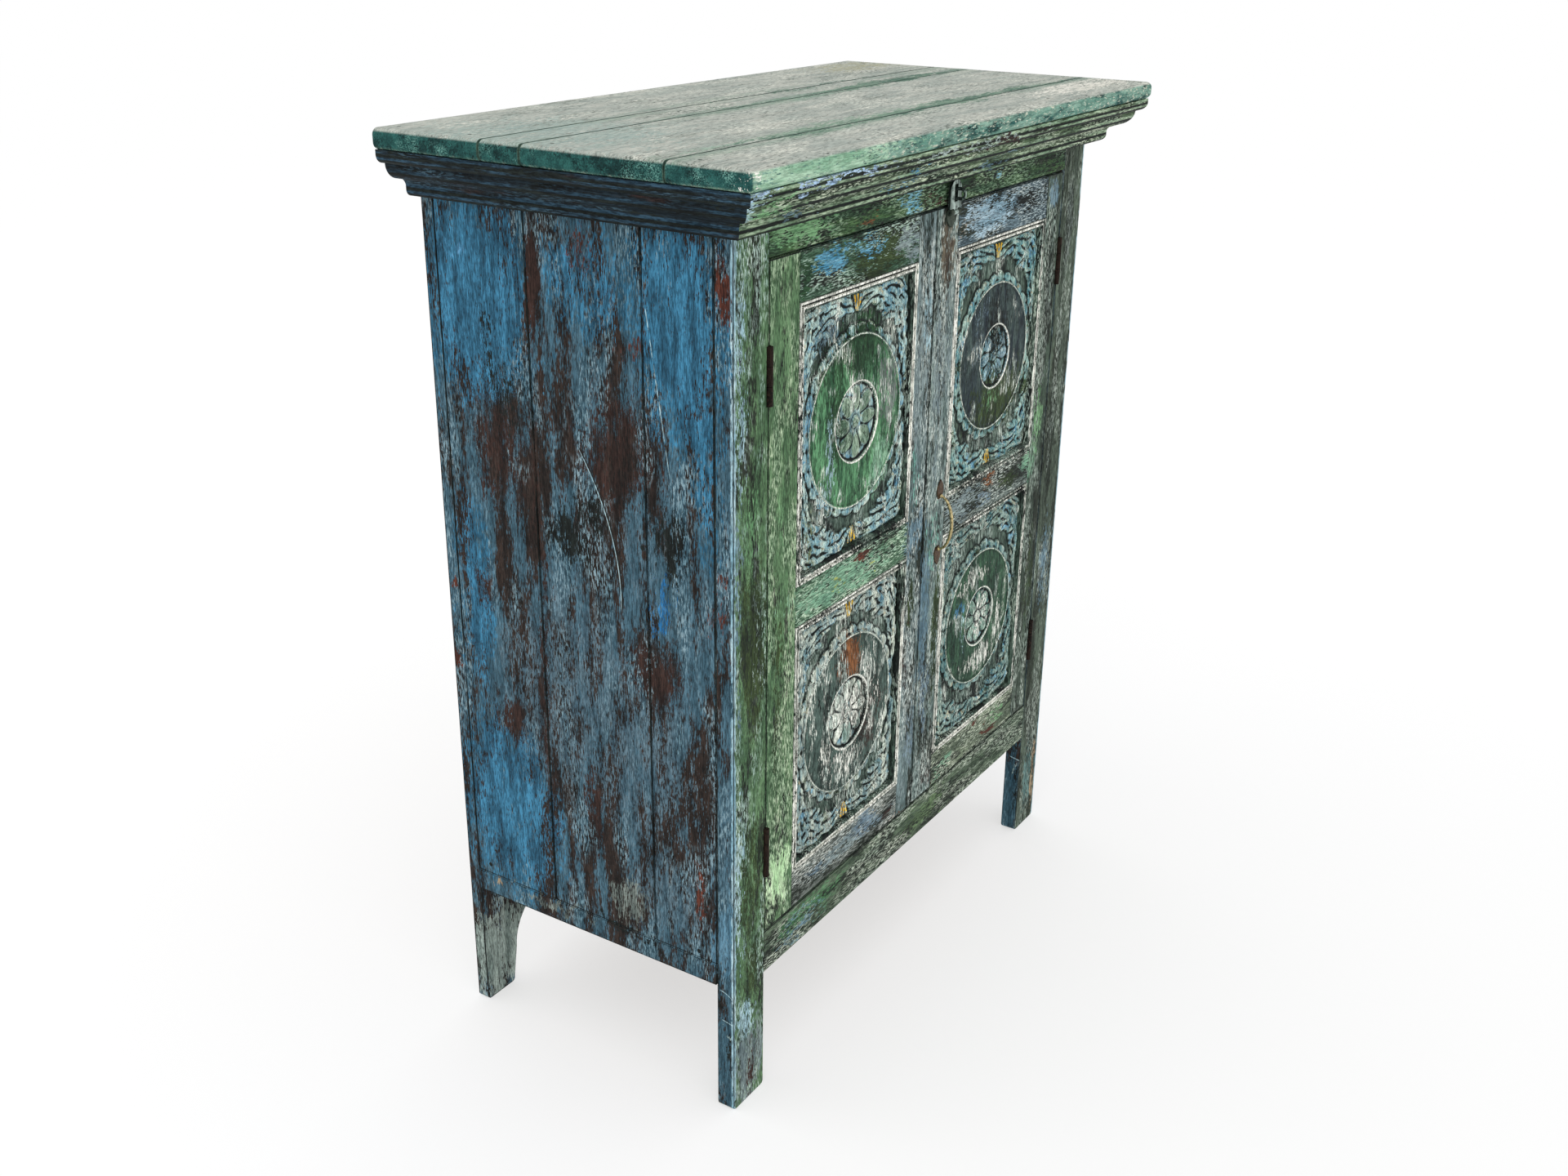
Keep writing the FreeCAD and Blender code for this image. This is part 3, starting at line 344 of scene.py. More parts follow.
    def line(self, plane, start, end, width, bend=0.0):
        """A thin crack between two points, in millimetres, that bends aside by an arc."""
        away = self.minus(self.axis(plane[1]), start[1] * MM)
        share = self.sum("DIVIDE", away, (end[1] - start[1]) * MM)
        arc = self.both(share, self.minus(1.0, share), 4 * bend * MM)
        course = self.sum("MULTIPLY_ADD", share, (end[0] - start[0]) * MM, start[0] * MM)
        gap = self.distance(self.axis(plane[0]), self.sum("ADD", course, arc))
        inside = self.rise(self.distance(share, 0.5), 0.52, 0.47)
        return self.both(self.rise(gap, width * MM, 0.4 * width * MM), inside)

    def facing(self, axis):
        """Where the surface looks along an axis, either way."""
        return self.rise(self.sum("ABSOLUTE", self.axis(axis, self.place.node.outputs["Normal"])), 0.6, 0.8)

    def paint_apart(self, mask, painter):
        """Paint another face of the same piece in its own way."""
        colour, height = self.colour, self.height
        painter(self)
        self.colour = self.mix(mask, colour, self.colour)
        if self.height is not height:
            self.height = self.sum("ADD", self.both(self.minus(1.0, mask), height),
                                   self.both(mask, self.height))

    def axis(self, name, vector=None):
        """One coordinate of a vector, or else of the place that is being painted."""
        node = self.add("ShaderNodeSeparateXYZ", {0: vector or self.place})
        return node.outputs[AXES.index(name)]

    def edge_distance(self, low, high):
        """The distance in metres to the nearest edge of a block, from a point on its face."""
        falls = []
        for name, start, end in zip(AXES, low, high):
            value = self.axis(name)
            falls.append(self.least(self.distance(value, start), self.distance(end, value)))
        lesser = self.least(falls[0], falls[1])
        greater = self.either(falls[0], falls[1])
        return self.either(lesser, self.least(greater, falls[2]))

    def attribute(self, name):
        """A value that the mesh carries at each corner."""
        return self.add("ShaderNodeAttribute", {}, attribute_name=name).outputs["Fac"]

    def nails(self, plane, places, radius):
        """Round marks at these places, in millimetres."""
        axes = [AXES.index(name) for name in plane]
        scales = [1.0 if axis in axes else 0.0 for axis in range(3)]
        nearest = FAR
        for place in places:
            shift = [0.0, 0.0, 0.0]
            for axis, value in zip(axes, place):
                shift[axis] = -value * MM
            away = self.vector("MULTIPLY_ADD", self.place, scales, shift)
            nearest = self.least(nearest, self.vector("LENGTH", away, output=1))
        return self.rise(nearest, radius * MM, 0.7 * radius * MM)

    def finish(self, strength=0.6, contrast=1.0):
        """Add the grain's shade and relief, connect everything and give the material."""
        grain = self.noise(0.0014, 14.0, 3, 0.6)
        dirt = self.rise(self.sum("MULTIPLY_ADD", grain, 0.4, self.sum("MULTIPLY", self.specks, 0.6)),
                         0.43, 0.57)
        shade = self.sum("MULTIPLY_ADD", dirt, contrast, 1 - contrast / 2)
        self.colour = self.vector("MULTIPLY", self.colour, shade)
        height = self.sum("MULTIPLY_ADD", grain, 0.18, self.height)
        bump = self.add("ShaderNodeBump", {"Strength": strength, "Distance": MM, "Height": height})
        shader = self.add("ShaderNodeBsdfPrincipled", {"Base Color": self.colour,
                                                       "Normal": bump.outputs[0], **self.shading})
        self.add("ShaderNodeOutputMaterial", {"Surface": shader.outputs[0]})
        return self.material


def brush(coats, under, main, rubbed, cover=0.74, rub=0.34):
    """Old brushed paint: a dark ground, a broken main coat, and pale and dark specks."""
    coats.colour = coats.tones(under)
    worn = coats.sum("MULTIPLY_ADD", coats.noise(0.03, 5, 5, 0.65), 0.5,
                     coats.sum("MULTIPLY", coats.breaks, 0.5))
    level = 0.5 + (0.5 - cover) * WORN_RANGE
    coats.coat(main, coats.rise(worn, level - 0.02, level + 0.02), 0.1)
    specks = coats.specks
    start = 0.6 - 0.4 * rub
    where = coats.rise(coats.noise(0.04, 3, 4, 0.6), start, start + 0.12)
    coats.coat(rubbed, coats.both(coats.rise(specks, 0.5, 0.57), where), 0.08)
    coats.coat(SOOT_AND_SHADE, coats.both(coats.rise(specks, 0.42, 0.34), coats.rise(worn, 0.56, 0.44)), -0.12)


def wear_edges(coats, node, bare, reach, cover):
    """Bare the edges of a board, and darken the lines where it meets others."""
    distance = coats.edge_distance(*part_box(node))
    ragged = coats.sum("MULTIPLY_ADD", coats.noise(0.008, 3, 6, 0.7), 2 * reach * MM, -reach * MM)
    near = coats.rise(coats.sum("ADD", distance, ragged), 1.2 * MM, 0.4 * MM)
    coats.coat(bare, coats.flaked(near, cover, 0.004), -0.15)
    coats.coat(SOOT_AND_SHADE, coats.rise(distance, 1.3 * MM, 0.7 * MM))


def grain_of(node):
    """The axis of a board's longest side."""
    low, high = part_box(node)
    spans = high - low
    return AXES[max(range(3), key=lambda number: spans[number])]


# Colours of the old paint, in pairs that run into each other

WOOD_DARK = ("1d1917", "342a25")
WOOD = ("46372b", "66523f")
WOOD_PALE = ("84725c", "a08d72")
SOOT_AND_SHADE = ("0f1413", "1d2422")
BROWN = ("261b18", "3b2a25")
RED_BROWN = ("43261f", "633629")
ORANGE_BROWN = ("5a3a26", "8a5a36")
OLIVE = ("26331f", "3a4a2b")
GREEN_DEEP = ("1f3a27", "2f4f33")
GREEN = ("3a6340", "55805a")
GREEN_LIGHT = ("5d8a60", "7ba579")
MINT = ("679178", "86ad90")
MINT_PALE = ("a3cc98", "c6e0b8")
CYAN = ("4f8fa6", "8fbecb")
CYAN_DEEP = ("3f7f9c", "74abc2")
TEAL_LIGHT = ("5f9a8c", "8fc2b0")
BLUE = ("234c62", "3d7a9a")
BLUE_BRIGHT = ("3a6f92", "5a8fb2")
BLUE_PURE = ("1f5f92", "2f74a6")
BLUE_GREY = ("4f6b78", "77919c")
BLUE_PALE = ("8aaab4", "a9c4c9")
LAVENDER = ("66767a", "8b9a98")
SLATE = ("5c7280", "8599a3")
GREY = ("56605c", "7b857f")
WHITE = ("c6c9bf", "f1f1e8")
YELLOW = ("c99a25", "f0c640")
YELLOW_GREEN = ("8f9c55", "b9bd6e")
RUST = ("14110f", "30241d")

# How tall the doors' middle rails are, the top of the legs, and the rim's middle, top and left end

MIDDLE_RAIL = 48 * MM
LEG_TOP = 166 * MM
RIM_MIDDLE = 1.058
RIM_TOP = 1.0685
RIM_END = (-0.4595, -0.455)

# The patches and screws that the photograph shows on the side, along Y and Z, in millimetres

SIDE_SCREWS = ((-52, 668), (190, 205), (-118, 201), (20, 203))
SIDE_GREY = ("3b5360", "5b727d")
POST_BLUE = ("3a5f72", "5a8094")
SIDE_PATCHES = (
    (BLUE, 160, 905, 70, 105, 0.86), (BLUE, -100, 905, 52, 105, 0.86), (BLUE, -128, 790, 20, 120, 0.7),
    (BLUE, 5, 930, 66, 60, 0.62), (BLUE, 152, 300, 66, 110, 0.84), (BLUE, 182, 560, 22, 110, 0.78),
    (SIDE_GREY, 60, 480, 110, 170, 0.52), (SIDE_GREY, -50, 420, 90, 150, 0.52),
    (SIDE_GREY, -70, 260, 70, 60, 0.56), (SIDE_GREY, -40, 660, 50, 60, 0.4), (BROWN, 81, 925, 11, 62, 0.85),
    (BROWN, 90, 560, 10, 290, 0.6), (BROWN, 134, 745, 40, 76, 0.62), (SOOT_AND_SHADE, 148, 850, 12, 62, 0.5),
    (SOOT_AND_SHADE, 120, 800, 34, 60, 0.4), (BROWN, -22, 765, 60, 80, 0.55), (SOOT_AND_SHADE, -86, 672, 14, 42, 0.75),
    (SOOT_AND_SHADE, 48, 655, 24, 34, 0.7), (SOOT_AND_SHADE, 12, 692, 26, 20, 0.62), (BROWN, -63, 525, 34, 38, 0.74),
    (BROWN, 22, 335, 15, 58, 0.66), (BROWN, 140, 413, 15, 26, 0.72), (BROWN, 168, 575, 13, 30, 0.6),
    (RED_BROWN, -42, 872, 24, 14, 0.45), (RED_BROWN, 12, 960, 9, 34, 0.5),
    (RED_BROWN, -127, 274, 6, 38, 0.7), (BLUE_PURE, -70, 602, 12, 32, 0.5), (GREY, -20, 232, 28, 34, 0.6),
    (BLUE_BRIGHT, 184, 950, 30, 14, 0.3), (("65746f", "93a19a"), 200, 60, 34, 60, 0.85),
    (RED_BROWN, -154, 946, 7, 30, 0.8), (RED_BROWN, -150, 640, 8, 60, 0.45),
    (RED_BROWN, 218, 560, 6, 8, 0.8), (RED_BROWN, 219, 480, 5, 14, 0.8), (RED_BROWN, -152, 84, 8, 26, 0.6),
    (WOOD_PALE, 176, 180, 12, 8, 0.6), (GREY, 90, 188, 70, 5, 0.6), (SOOT_AND_SHADE, -30, 190, 90, 4, 0.6),
    (POST_BLUE, -154, 230, 14, 60, 0.7), (("294552", "405e6b"), -154, 60, 14, 80, 0.9),
    # Below, the front leg's chip: a dark gash with a pale painted highlight at its top, and a small dark
    # mark above it.
    (SOOT_AND_SHADE, -161, 75, 3, 24, 0.9), (SOOT_AND_SHADE, -157, 137, 3, 4, 0.9), (("7d9494", "a3b4b0"), -158, 99, 5, 3, 0.9))

# What is left of the white lines on the mouldings, along X and Z

WHITE_LINES = {
    "left": ((-162, 912, 150, 26, 0.95), (-44, 762, 26, 180, 0.98), (-280, 762, 20, 170, 0.6),
             (-230, 614, 60, 22, 0.8), (-162, 262, 150, 26, 0.9), (-44, 360, 24, 160, 0.9),
             (-280, 400, 20, 170, 0.75), (-162, 560, 140, 20, 0.65)),
    "right": ((173, 912, 140, 26, 0.9), (56, 762, 24, 180, 0.9), (291, 762, 22, 170, 0.7),
              (173, 614, 120, 20, 0.45), (173, 262, 140, 26, 0.9), (56, 410, 24, 180, 0.9),
              (291, 410, 22, 170, 0.7), (173, 560, 120, 20, 0.45))}

# The patches on the case's front and on the doors' frames, along X and Z

FRONT_PATCHES = (
    (BLUE_PALE, -394, 850, 16, 200, 0.5), (BLUE_GREY, -395, 640, 9, 200, 0.5),
    (OLIVE, -362, 560, 26, 130, 0.6), (GREEN_LIGHT, -368, 700, 18, 60, 0.4),
    (BLUE_PALE, -386, 235, 22, 60, 0.45), (RUST, -388, 860, 8, 50, 0.3), (BLUE_PALE, -375, 95, 20, 30, 0.6),
    (BLUE_PALE, -378, 118, 20, 26, 0.6), (("56666a", "7d8d8b"), -370, 52, 34, 50, 0.75),
    (BROWN, -364, 45, 14, 46, 0.5), (OLIVE, -366, 175, 26, 46, 0.6), (OLIVE, -372, 290, 30, 110, 0.55),
    (BLUE_PALE, -394, 300, 8, 130, 0.6), (GREEN_LIGHT, -286, 988, 58, 15, 0.8),
    (ORANGE_BROWN, -155, 978, 22, 8, 0.6), (CYAN, -60, 984, 30, 12, 0.6), (BROWN, -5, 980, 46, 10, 0.5),
    (CYAN, 150, 988, 14, 9, 0.5), (GREEN, -240, 186, 90, 24, 0.5), (BLUE_GREY, -260, 176, 60, 14, 0.45),
    (("43573c", "5f7654"), 40, 186, 60, 22, 0.6), (BLUE_GREY, 372, 420, 20, 90, 0.5),
    (GREY, 370, 900, 20, 70, 0.5), (("42615f", "64827e"), 372, 80, 24, 60, 0.6),
    (WOOD_PALE, 395, 80, 5, 60, 0.6))
LEFT_DOOR_PATCHES = (
    (GREEN_LIGHT, -312, 700, 14, 36, 0.5), (MINT_PALE, -311, 266, 15, 30, 0.8),
    (OLIVE, -322, 500, 10, 130, 0.5), (GREEN_DEEP, -276, 940, 12, 26, 0.8),
    (CYAN_DEEP, -226, 944, 40, 20, 0.62), (OLIVE, -120, 935, 52, 26, 0.8),
    (CYAN_DEEP, -150, 950, 44, 12, 0.5), (LAVENDER, -52, 940, 34, 30, 0.7),
    (LAVENDER, -24, 780, 22, 170, 0.55), (BLUE_PALE, -12, 860, 8, 60, 0.5),
    (TEAL_LIGHT, -30, 660, 14, 60, 0.4), (MINT, -190, 588, 88, 17, 0.82),
    (YELLOW_GREEN, -197, 584, 11, 8, 0.7), (YELLOW_GREEN, -118, 584, 8, 6, 0.6),
    (RED_BROWN, -142, 605, 15, 6, 0.8), (BLUE_GREY, -26, 590, 20, 34, 0.7), (OLIVE, -30, 500, 14, 50, 0.6),
    (BROWN, -30, 420, 12, 60, 0.4), (SLATE, -10, 330, 12, 70, 0.5), (LAVENDER, -150, 236, 130, 18, 0.6),
    (SLATE, -110, 240, 30, 14, 0.7), (SLATE, -236, 238, 20, 10, 0.6), (BROWN, -62, 238, 18, 12, 0.6),
    (ORANGE_BROWN, -46, 214, 20, 5, 0.5))
RIGHT_DOOR_PATCHES = (
    (LAVENDER, 28, 780, 30, 170, 0.55), (("3a322b", "6b6252"), 22, 925, 20, 60, 0.66),
    (TEAL_LIGHT, 24, 560, 16, 60, 0.45), (SOOT_AND_SHADE, 16, 950, 10, 26, 0.5), (BLUE_GREY, 10, 480, 12, 130, 0.66),
    (OLIVE, 44, 430, 12, 100, 0.7), (SLATE, 20, 360, 12, 60, 0.5), (WOOD_PALE, 62, 938, 22, 9, 0.4),
    (("71909f", "a3bac5"), 140, 942, 66, 22, 0.72), (SOOT_AND_SHADE, 236, 944, 42, 10, 0.66),
    (BLUE_GREY, 316, 945, 16, 22, 0.7), (SOOT_AND_SHADE, 314, 830, 16, 70, 0.5), (GREY, 322, 760, 12, 90, 0.4),
    (GREEN_LIGHT, 312, 640, 16, 60, 0.5), (MINT, 294, 590, 20, 26, 0.6), (OLIVE, 322, 420, 12, 110, 0.5),
    (LAVENDER, 100, 588, 50, 18, 0.7), (ORANGE_BROWN, 172, 602, 16, 7, 0.7), (SLATE, 160, 578, 26, 10, 0.5),
    (OLIVE, 230, 590, 34, 16, 0.6), (MINT, 90, 232, 44, 14, 0.5), (RED_BROWN, 180, 250, 12, 6, 0.6),
    (RED_BROWN, 222, 224, 20, 6, 0.7), (BROWN, 40, 232, 18, 16, 0.5), (GREEN_LIGHT, 250, 236, 30, 10, 0.4))
CORNICE_PATCHES = (
    (BLUE_PALE, -455, 1030, 26, 22, 0.7), (GREEN_LIGHT, -400, 1024, 60, 12, 0.5),
    # The two rows below are pale stripes along the top ridge, painted highlights.
    (("7f9fc0", "a9c0d4"), -330, 1046, 130, 4, 0.75), (("7f8f8c", "9aa8a2"), -40, 1046, 200, 3, 0.6),
    (BLUE_GREY, -330, 1012, 50, 8, 0.45), (BLUE_BRIGHT, -120, 1020, 60, 10, 0.3),
    (BLUE_GREY, 100, 1010, 90, 10, 0.4), (BROWN, 60, 1040, 120, 6, 0.5))
FRAME_PATCHES = {"front": FRONT_PATCHES, "left": LEFT_DOOR_PATCHES, "right": RIGHT_DOOR_PATCHES}

# The nails and patches on the top, along X and Y

SEAM_GREEN = ("4a6a5b", "718b79")
TOP_NAILS = ((-437, 211), (-437, 117), (-437, 14), (-437, -108), (-437, -155), (437, 190), (437, 60),
             (437, -60), (437, -170), (-238, -199), (-191, -199), (9, -199), (59, -199), (198, -199),
             (370, -199))
TOP_PATCHES = (
    (("8fa093", "7d9284"), 64, 40, 240, 15, 0.7), (SEAM_GREEN, -60, 38, 120, 6, 0.6),
    (SEAM_GREEN, 220, 42, 190, 11, 0.85), (("8fa594", "78917f"), -90, -124, 330, 17, 0.72),
    (SEAM_GREEN, -250, -128, 150, 6, 0.6), (SEAM_GREEN, 60, -126, 260, 11, 0.85),
    (SEAM_GREEN, 330, -128, 110, 8, 0.7), (SEAM_GREEN, 120, 88, 240, 5, 0.6),
    (("a9a994", "999a84"), 380, 170, 110, 50, 0.6), (("9caaa2", "8fa09a"), -380, 60, 130, 150, 0.6),
    (("d0cfc4", "dcdad0"), 340, -180, 150, 34, 0.6))


def paint_side(coats, cover=0.5):
    """The case's side: steel-blue paint worn through to dark wood."""
    brush(coats, WOOD_DARK, ("304c59", "496877"), ("587580", "7a9199"), cover, 0.27)


def side_material(node):
    """Steel-blue paint of the sides."""
    coats = Coats("side_" + node, WOOD_DARK, "z")
    paint_side(coats)
    coats.patches(node, "yz", SIDE_PATCHES)
    crack = coats.line("yz", (26, 760), (-24, 592), 0.9, -14)
    coats.coat(SOOT_AND_SHADE, crack, -0.6)
    coats.coat(BLUE_PALE, coats.line("yz", (28, 760), (-22, 592), 0.7, -14), 0.3)
    coats.coat(BLUE_PALE, coats.flaked(coats.line("yz", (-61, 925), (-88, 752), 0.7), 0.6, 0.006, 4), 0.2)
    coats.coat(SOOT_AND_SHADE, coats.nails("yz", SIDE_SCREWS, 3.2), -0.4)
    seam = coats.rise(coats.edge_distance(*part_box(node)), 1.4 * MM, 0.8 * MM)
    coats.coat(SOOT_AND_SHADE, coats.flaked(seam, 0.75, 0.03, 6, 0.1))
    return coats.finish(contrast=0.8)


def post_material(node):
    """A post is green in front and steel-blue on its side."""
    coats = Coats("post_" + node, OLIVE, "z")
    main, rubbed, cover = FRAME_TONES[node]
    brush(coats, ("1b241c", "2d352b"), main, rubbed, cover, 0.28)
    coats.patches(node, "xz", FRONT_PATCHES)

    def side(apart):
        paint_side(apart, 0.66)
        apart.patches(node, "yz", SIDE_PATCHES)
        crease = apart.either(apart.line("zy", (121, -149), (118, -165), 0.9),
                              apart.line("zy", (160, -146), (151, -165), 0.8, 2))
        apart.coat(BLUE_PALE, crease, -0.3)

    coats.paint_apart(coats.facing("x"), side)
    low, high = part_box(node)
    joint = coats.both(coats.rise(coats.minus(high.y, coats.axis("y")), 2.6 * MM, 1.8 * MM),
                       coats.rise(coats.axis("z"), LEG_TOP - 3 * MM, LEG_TOP))
    coats.coat(SOOT_AND_SHADE, joint, -0.4)
    outside = low.x if low.x < 0 else high.x
    from_corner = coats.either(coats.distance(coats.axis("x"), outside),
                               coats.minus(coats.axis("y"), low.y))
    corner = coats.rise(from_corner, 4.5 * MM, 2.5 * MM)
    coats.coat(("7ba3b2", "b0cad0"), coats.flaked(corner, 0.66, 0.005, 5), -0.1)
    wear_edges(coats, node, BLUE_PALE, 2.0, 0.8)
    return coats.finish(contrast=0.8)


# The main coat of each member of the front, its rubbed specks, and how much the coat covers

FRAME_TONES = {
    "front_left_post": (("3f5c40", "5f7f5b"), ("8fa9a0", "b0c2b8"), 0.62),
    "front_top_rail": (("2b4430", "48683f"), ("5f7a62", "8ba084"), 0.58),
    "front_bottom_rail": (("39493a", "5a6b57"), ("8a9888", "adb5a6"), 0.5),
    "front_right_post": (("39443a", "566456"), ("7f8d84", "a0aaa0"), 0.5),
    "left_door_hinge_stile": (("3f5c40", "60815c"), ("8aa385", "a9b99c"), 0.66),
    "left_door_meeting_stile": (("4c5f5d", "76888a"), ("9aa9a5", "c3cbc5"), 0.58),
    "left_door_top_rail": (("2f4c38", "466450"), ("7f9a8c", "a3b7a9"), 0.55),
    "left_door_middle_rail": (("3a5a44", "5f8266"), ("93ad98", "b6c8b1"), 0.6),
    "left_door_bottom_rail": (("4b524d", "727a74"), ("97a09c", "b9bcb4"), 0.6),
    "right_door_hinge_stile": (("2c382f", "445448"), ("7f9086", "a3aea4"), 0.52),
    "right_door_meeting_stile": (("51635f", "7a8d8a"), ("9aaaa5", "c3cbc3"), 0.58),
    "right_door_top_rail": (("3f5058", "5f737b"), ("8c9c9f", "aeb8b6"), 0.55),
    "right_door_middle_rail": (("454f4b", "6a7772"), ("93a09a", "b4bbb2"), 0.52),
    "right_door_bottom_rail": (("465243", "707e68"), ("95a190", "b4bba9"), 0.55)}


def frame_material(node):
    """One member of the front, in its own age of paint."""
    coats = Coats("paint_" + node, GREEN_DEEP, grain_of(node))
    main, rubbed, cover = FRAME_TONES[node]
    brush(coats, ("171f1a", "2c332b"), main, rubbed, cover, 0.42)
    coats.patches(node, "xz", FRAME_PATCHES[node.split("_")[0]])
    wear_edges(coats, node, rubbed, 1.6, 0.5)
    return coats.finish(contrast=0.8)


def moulding_material(node):
    """Green mouldings whose two ridges keep what is left of white lines."""
    side = node.split("_")[0]
    coats = Coats("lines_" + side, GREEN_DEEP, "z")
    brush(coats, SOOT_AND_SHADE, ("2c3c33", "4c5f54"), ("7d8f86", "a3aea0"), 0.5)
    low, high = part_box(node)
    across = coats.axis("x")
    away = coats.distance(coats.axis("z"), (low.z + high.z) / 2)
    inwards = coats.least(coats.minus(across, low.x), coats.minus(high.x, across),
                          coats.minus(away, MIDDLE_RAIL / 2), coats.minus((high.z - low.z) / 2, away))
    coats.coat(SOOT_AND_SHADE, coats.band(inwards, 2.2, 2.8, 4.4, 5.0))
    outer = coats.rise(inwards, 2.3 * MM, 1.7 * MM)
    inner = coats.band(inwards, 4.9, 5.3, 6.4, 6.9)
    ridges = coats.flaked(coats.either(outer, inner), 0.86, 0.0034, 1.2, 0.03)
    coats.coat(("8f9a8c", "b4b9a8"), coats.flaked(ridges, 0.3, 0.006, 2))
    broad = coats.either(coats.rise(inwards, 3.4 * MM, 2.8 * MM), coats.band(inwards, 4.5, 4.9, 6.9, 7.4))
    lines = [(WHITE, *row) for row in WHITE_LINES[side]]
    coats.patches(node, "xz", lines, coats.flaked(broad, 0.72, 0.0045, 1.3, 0.03))
    return coats.finish()


def top_material(node):
    """Bleached boards with a little green left along the seams, and a green rim."""
    coats = Coats("top_" + node, GREY, "x", 0.8)
    brush(coats, ("717a72", "868f86"), ("979f98", "b1b4ab"), ("b9beb4", "c9cabf"), 0.8, 0.3)
    low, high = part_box(node)
    across = coats.axis("y")
    # A board has a seam on each side that isn't the rim of the top.
    seams = [FAR]
    if low.y > cad_bounds[0].y + MM:
        seams.append(coats.minus(across, low.y))
    if high.y < cad_bounds[1].y - MM:
        seams.append(coats.minus(high.y, across))
    from_seam = coats.least(*seams)
    shaded = coats.both(coats.rise(from_seam, 30 * MM, 3 * MM),
                        coats.rise(coats.noise(0.03, 9, 4, 0.6), 0.38, 0.56), 0.75)
    coats.coat(("71877a", "86988a"), shaded)
    coats.patches(node, "xy", TOP_PATCHES)

    def rim(apart):
        brush(apart, ("0e2a29", "193b3a"), ("1c4341", "2c5d58"), ("44756d", "6e9a90"), 0.6, 0.25)
        front = apart.rise(apart.axis("x"), *RIM_END)
        apart.coat(("5f8a7c", "86a898"), apart.flaked(front, 0.6, 0.01, 4, 0.1), 0.1)
        apart.coat(("a9b8a8", "c8ccb9"), apart.flaked(front, 0.3, 0.003, 3), 0.1)
        green = apart.blob((-0.36, -0.225, RIM_MIDDLE), (0.16, 0.05, 0.05), 0.75)
        apart.coat(("7fa88c", "a8c8ae"), apart.both(front, green), 0.1)
        apart.coat(WHITE, apart.blob((-0.46, -0.225, RIM_MIDDLE), (0.008, 0.01, 0.02), 0.5), 0.1)

    nails = [(x, y) for x, y in TOP_NAILS if low.x < x * MM < high.x and low.y < y * MM < high.y]
    coats.coat(SOOT_AND_SHADE, coats.nails("xy", nails, 2.4), -0.5)
    coats.paint_apart(coats.rise(coats.axis("z"), RIM_TOP, RIM_TOP - 2.5 * MM), rim)
    coats.coat(("263a33", "3f5449"), coats.rise(from_seam, 1.8 * MM, 0.9 * MM))
    return coats.finish(contrast=0.4)


# The heights of the cornice's grooves, which are darkened as painted shade, and of its ridges, which carry
# rubbed paint and a painted highlight, with their half heights

CORNICE_GROOVES = ((1043.5, 1.4), (1037.5, 1.6), (1024.0, 1.8), (1006.5, 1.6), (999.5, 1.4))
CORNICE_RIDGES = ((1047.5, 1.6), (1040.8, 1.4), (1027.5, 1.8), (1009.5, 2.0), (1003.0, 1.4))


def cornice_material(node):
    """Dark moulding, with painted shade along its grooves and rubbed paint with a painted highlight along
    its ridges, blue on the sides and olive in front.
    """
    grain = grain_of(node)
    coats = Coats("cornice_" + node, SOOT_AND_SHADE, grain)
    if grain == "x":
        brush(coats, ("1d2a20", "2f3c2e"), ("3a4d37", "576b50"), ("8fa08c", "b5bda8"), 0.6, 0.38)
        rubbed = ("6f8a70", "9db095")
    else:
        brush(coats, SOOT_AND_SHADE, ("131c21", "1d2a32"), ("223540", "354a55"), 0.56, 0.3)
        coats.coat(BROWN, coats.flakes(0.22, 0.03, 5, 0.06))
        rubbed = ("1b303d", "2e4859")
    # Rubbed paint and a painted highlight along the ridges, and painted shade along the grooves.
    for rows, codes, cover in ((CORNICE_RIDGES, rubbed, 0.6), (CORNICE_GROOVES, SOOT_AND_SHADE, 0.9)):
        for height, half in rows:
            away = coats.distance(coats.axis("z"), height * MM)
            stripe = coats.rise(away, 1.3 * half * MM, 0.6 * half * MM)
            coats.coat(codes, coats.flaked(stripe, cover, 0.014, 8, 0.06))
    if grain == "x":
        coats.patches(node, "xz", CORNICE_PATCHES)
    return coats.finish()


def plain_wood(node):
    """Unpainted aged wood."""
    coats = Coats("wood_" + node, WOOD, grain_of(node))
    brush(coats, WOOD, ("5a4737", "75604a"), WOOD_PALE)
    return coats.finish()


def metal_material(name, tones, metallic, roughness):
    """Old metal."""
    coats = Coats(name, tones, "z", roughness, metallic)
    coats.coat((tones[1], tones[0]), coats.flakes(0.4, 0.003), 0.05)
    return coats.finish(0.3, 0.5)


def iron_material():
    """Dark iron with a pale painted highlight on the faces that look along Y, broken into flakes, and
    lighter flakes all over.
    """
    coats = Coats("painted_iron", ("1d2422", "343d3a"), "z", 0.5, 0.3)
    # Painted highlight: pale flakes where the surface faces along Y, front or back.
    coats.coat(("66766f", "aebfb7"), coats.flaked(coats.facing("y"), 0.72, 0.005, 1.5), 0.1)
    coats.coat(("4a5a55", "6f807a"), coats.flakes(0.3, 0.004, 1.5), 0.1)
    return coats.finish(0.5, 0.8)


# Which node gets which material

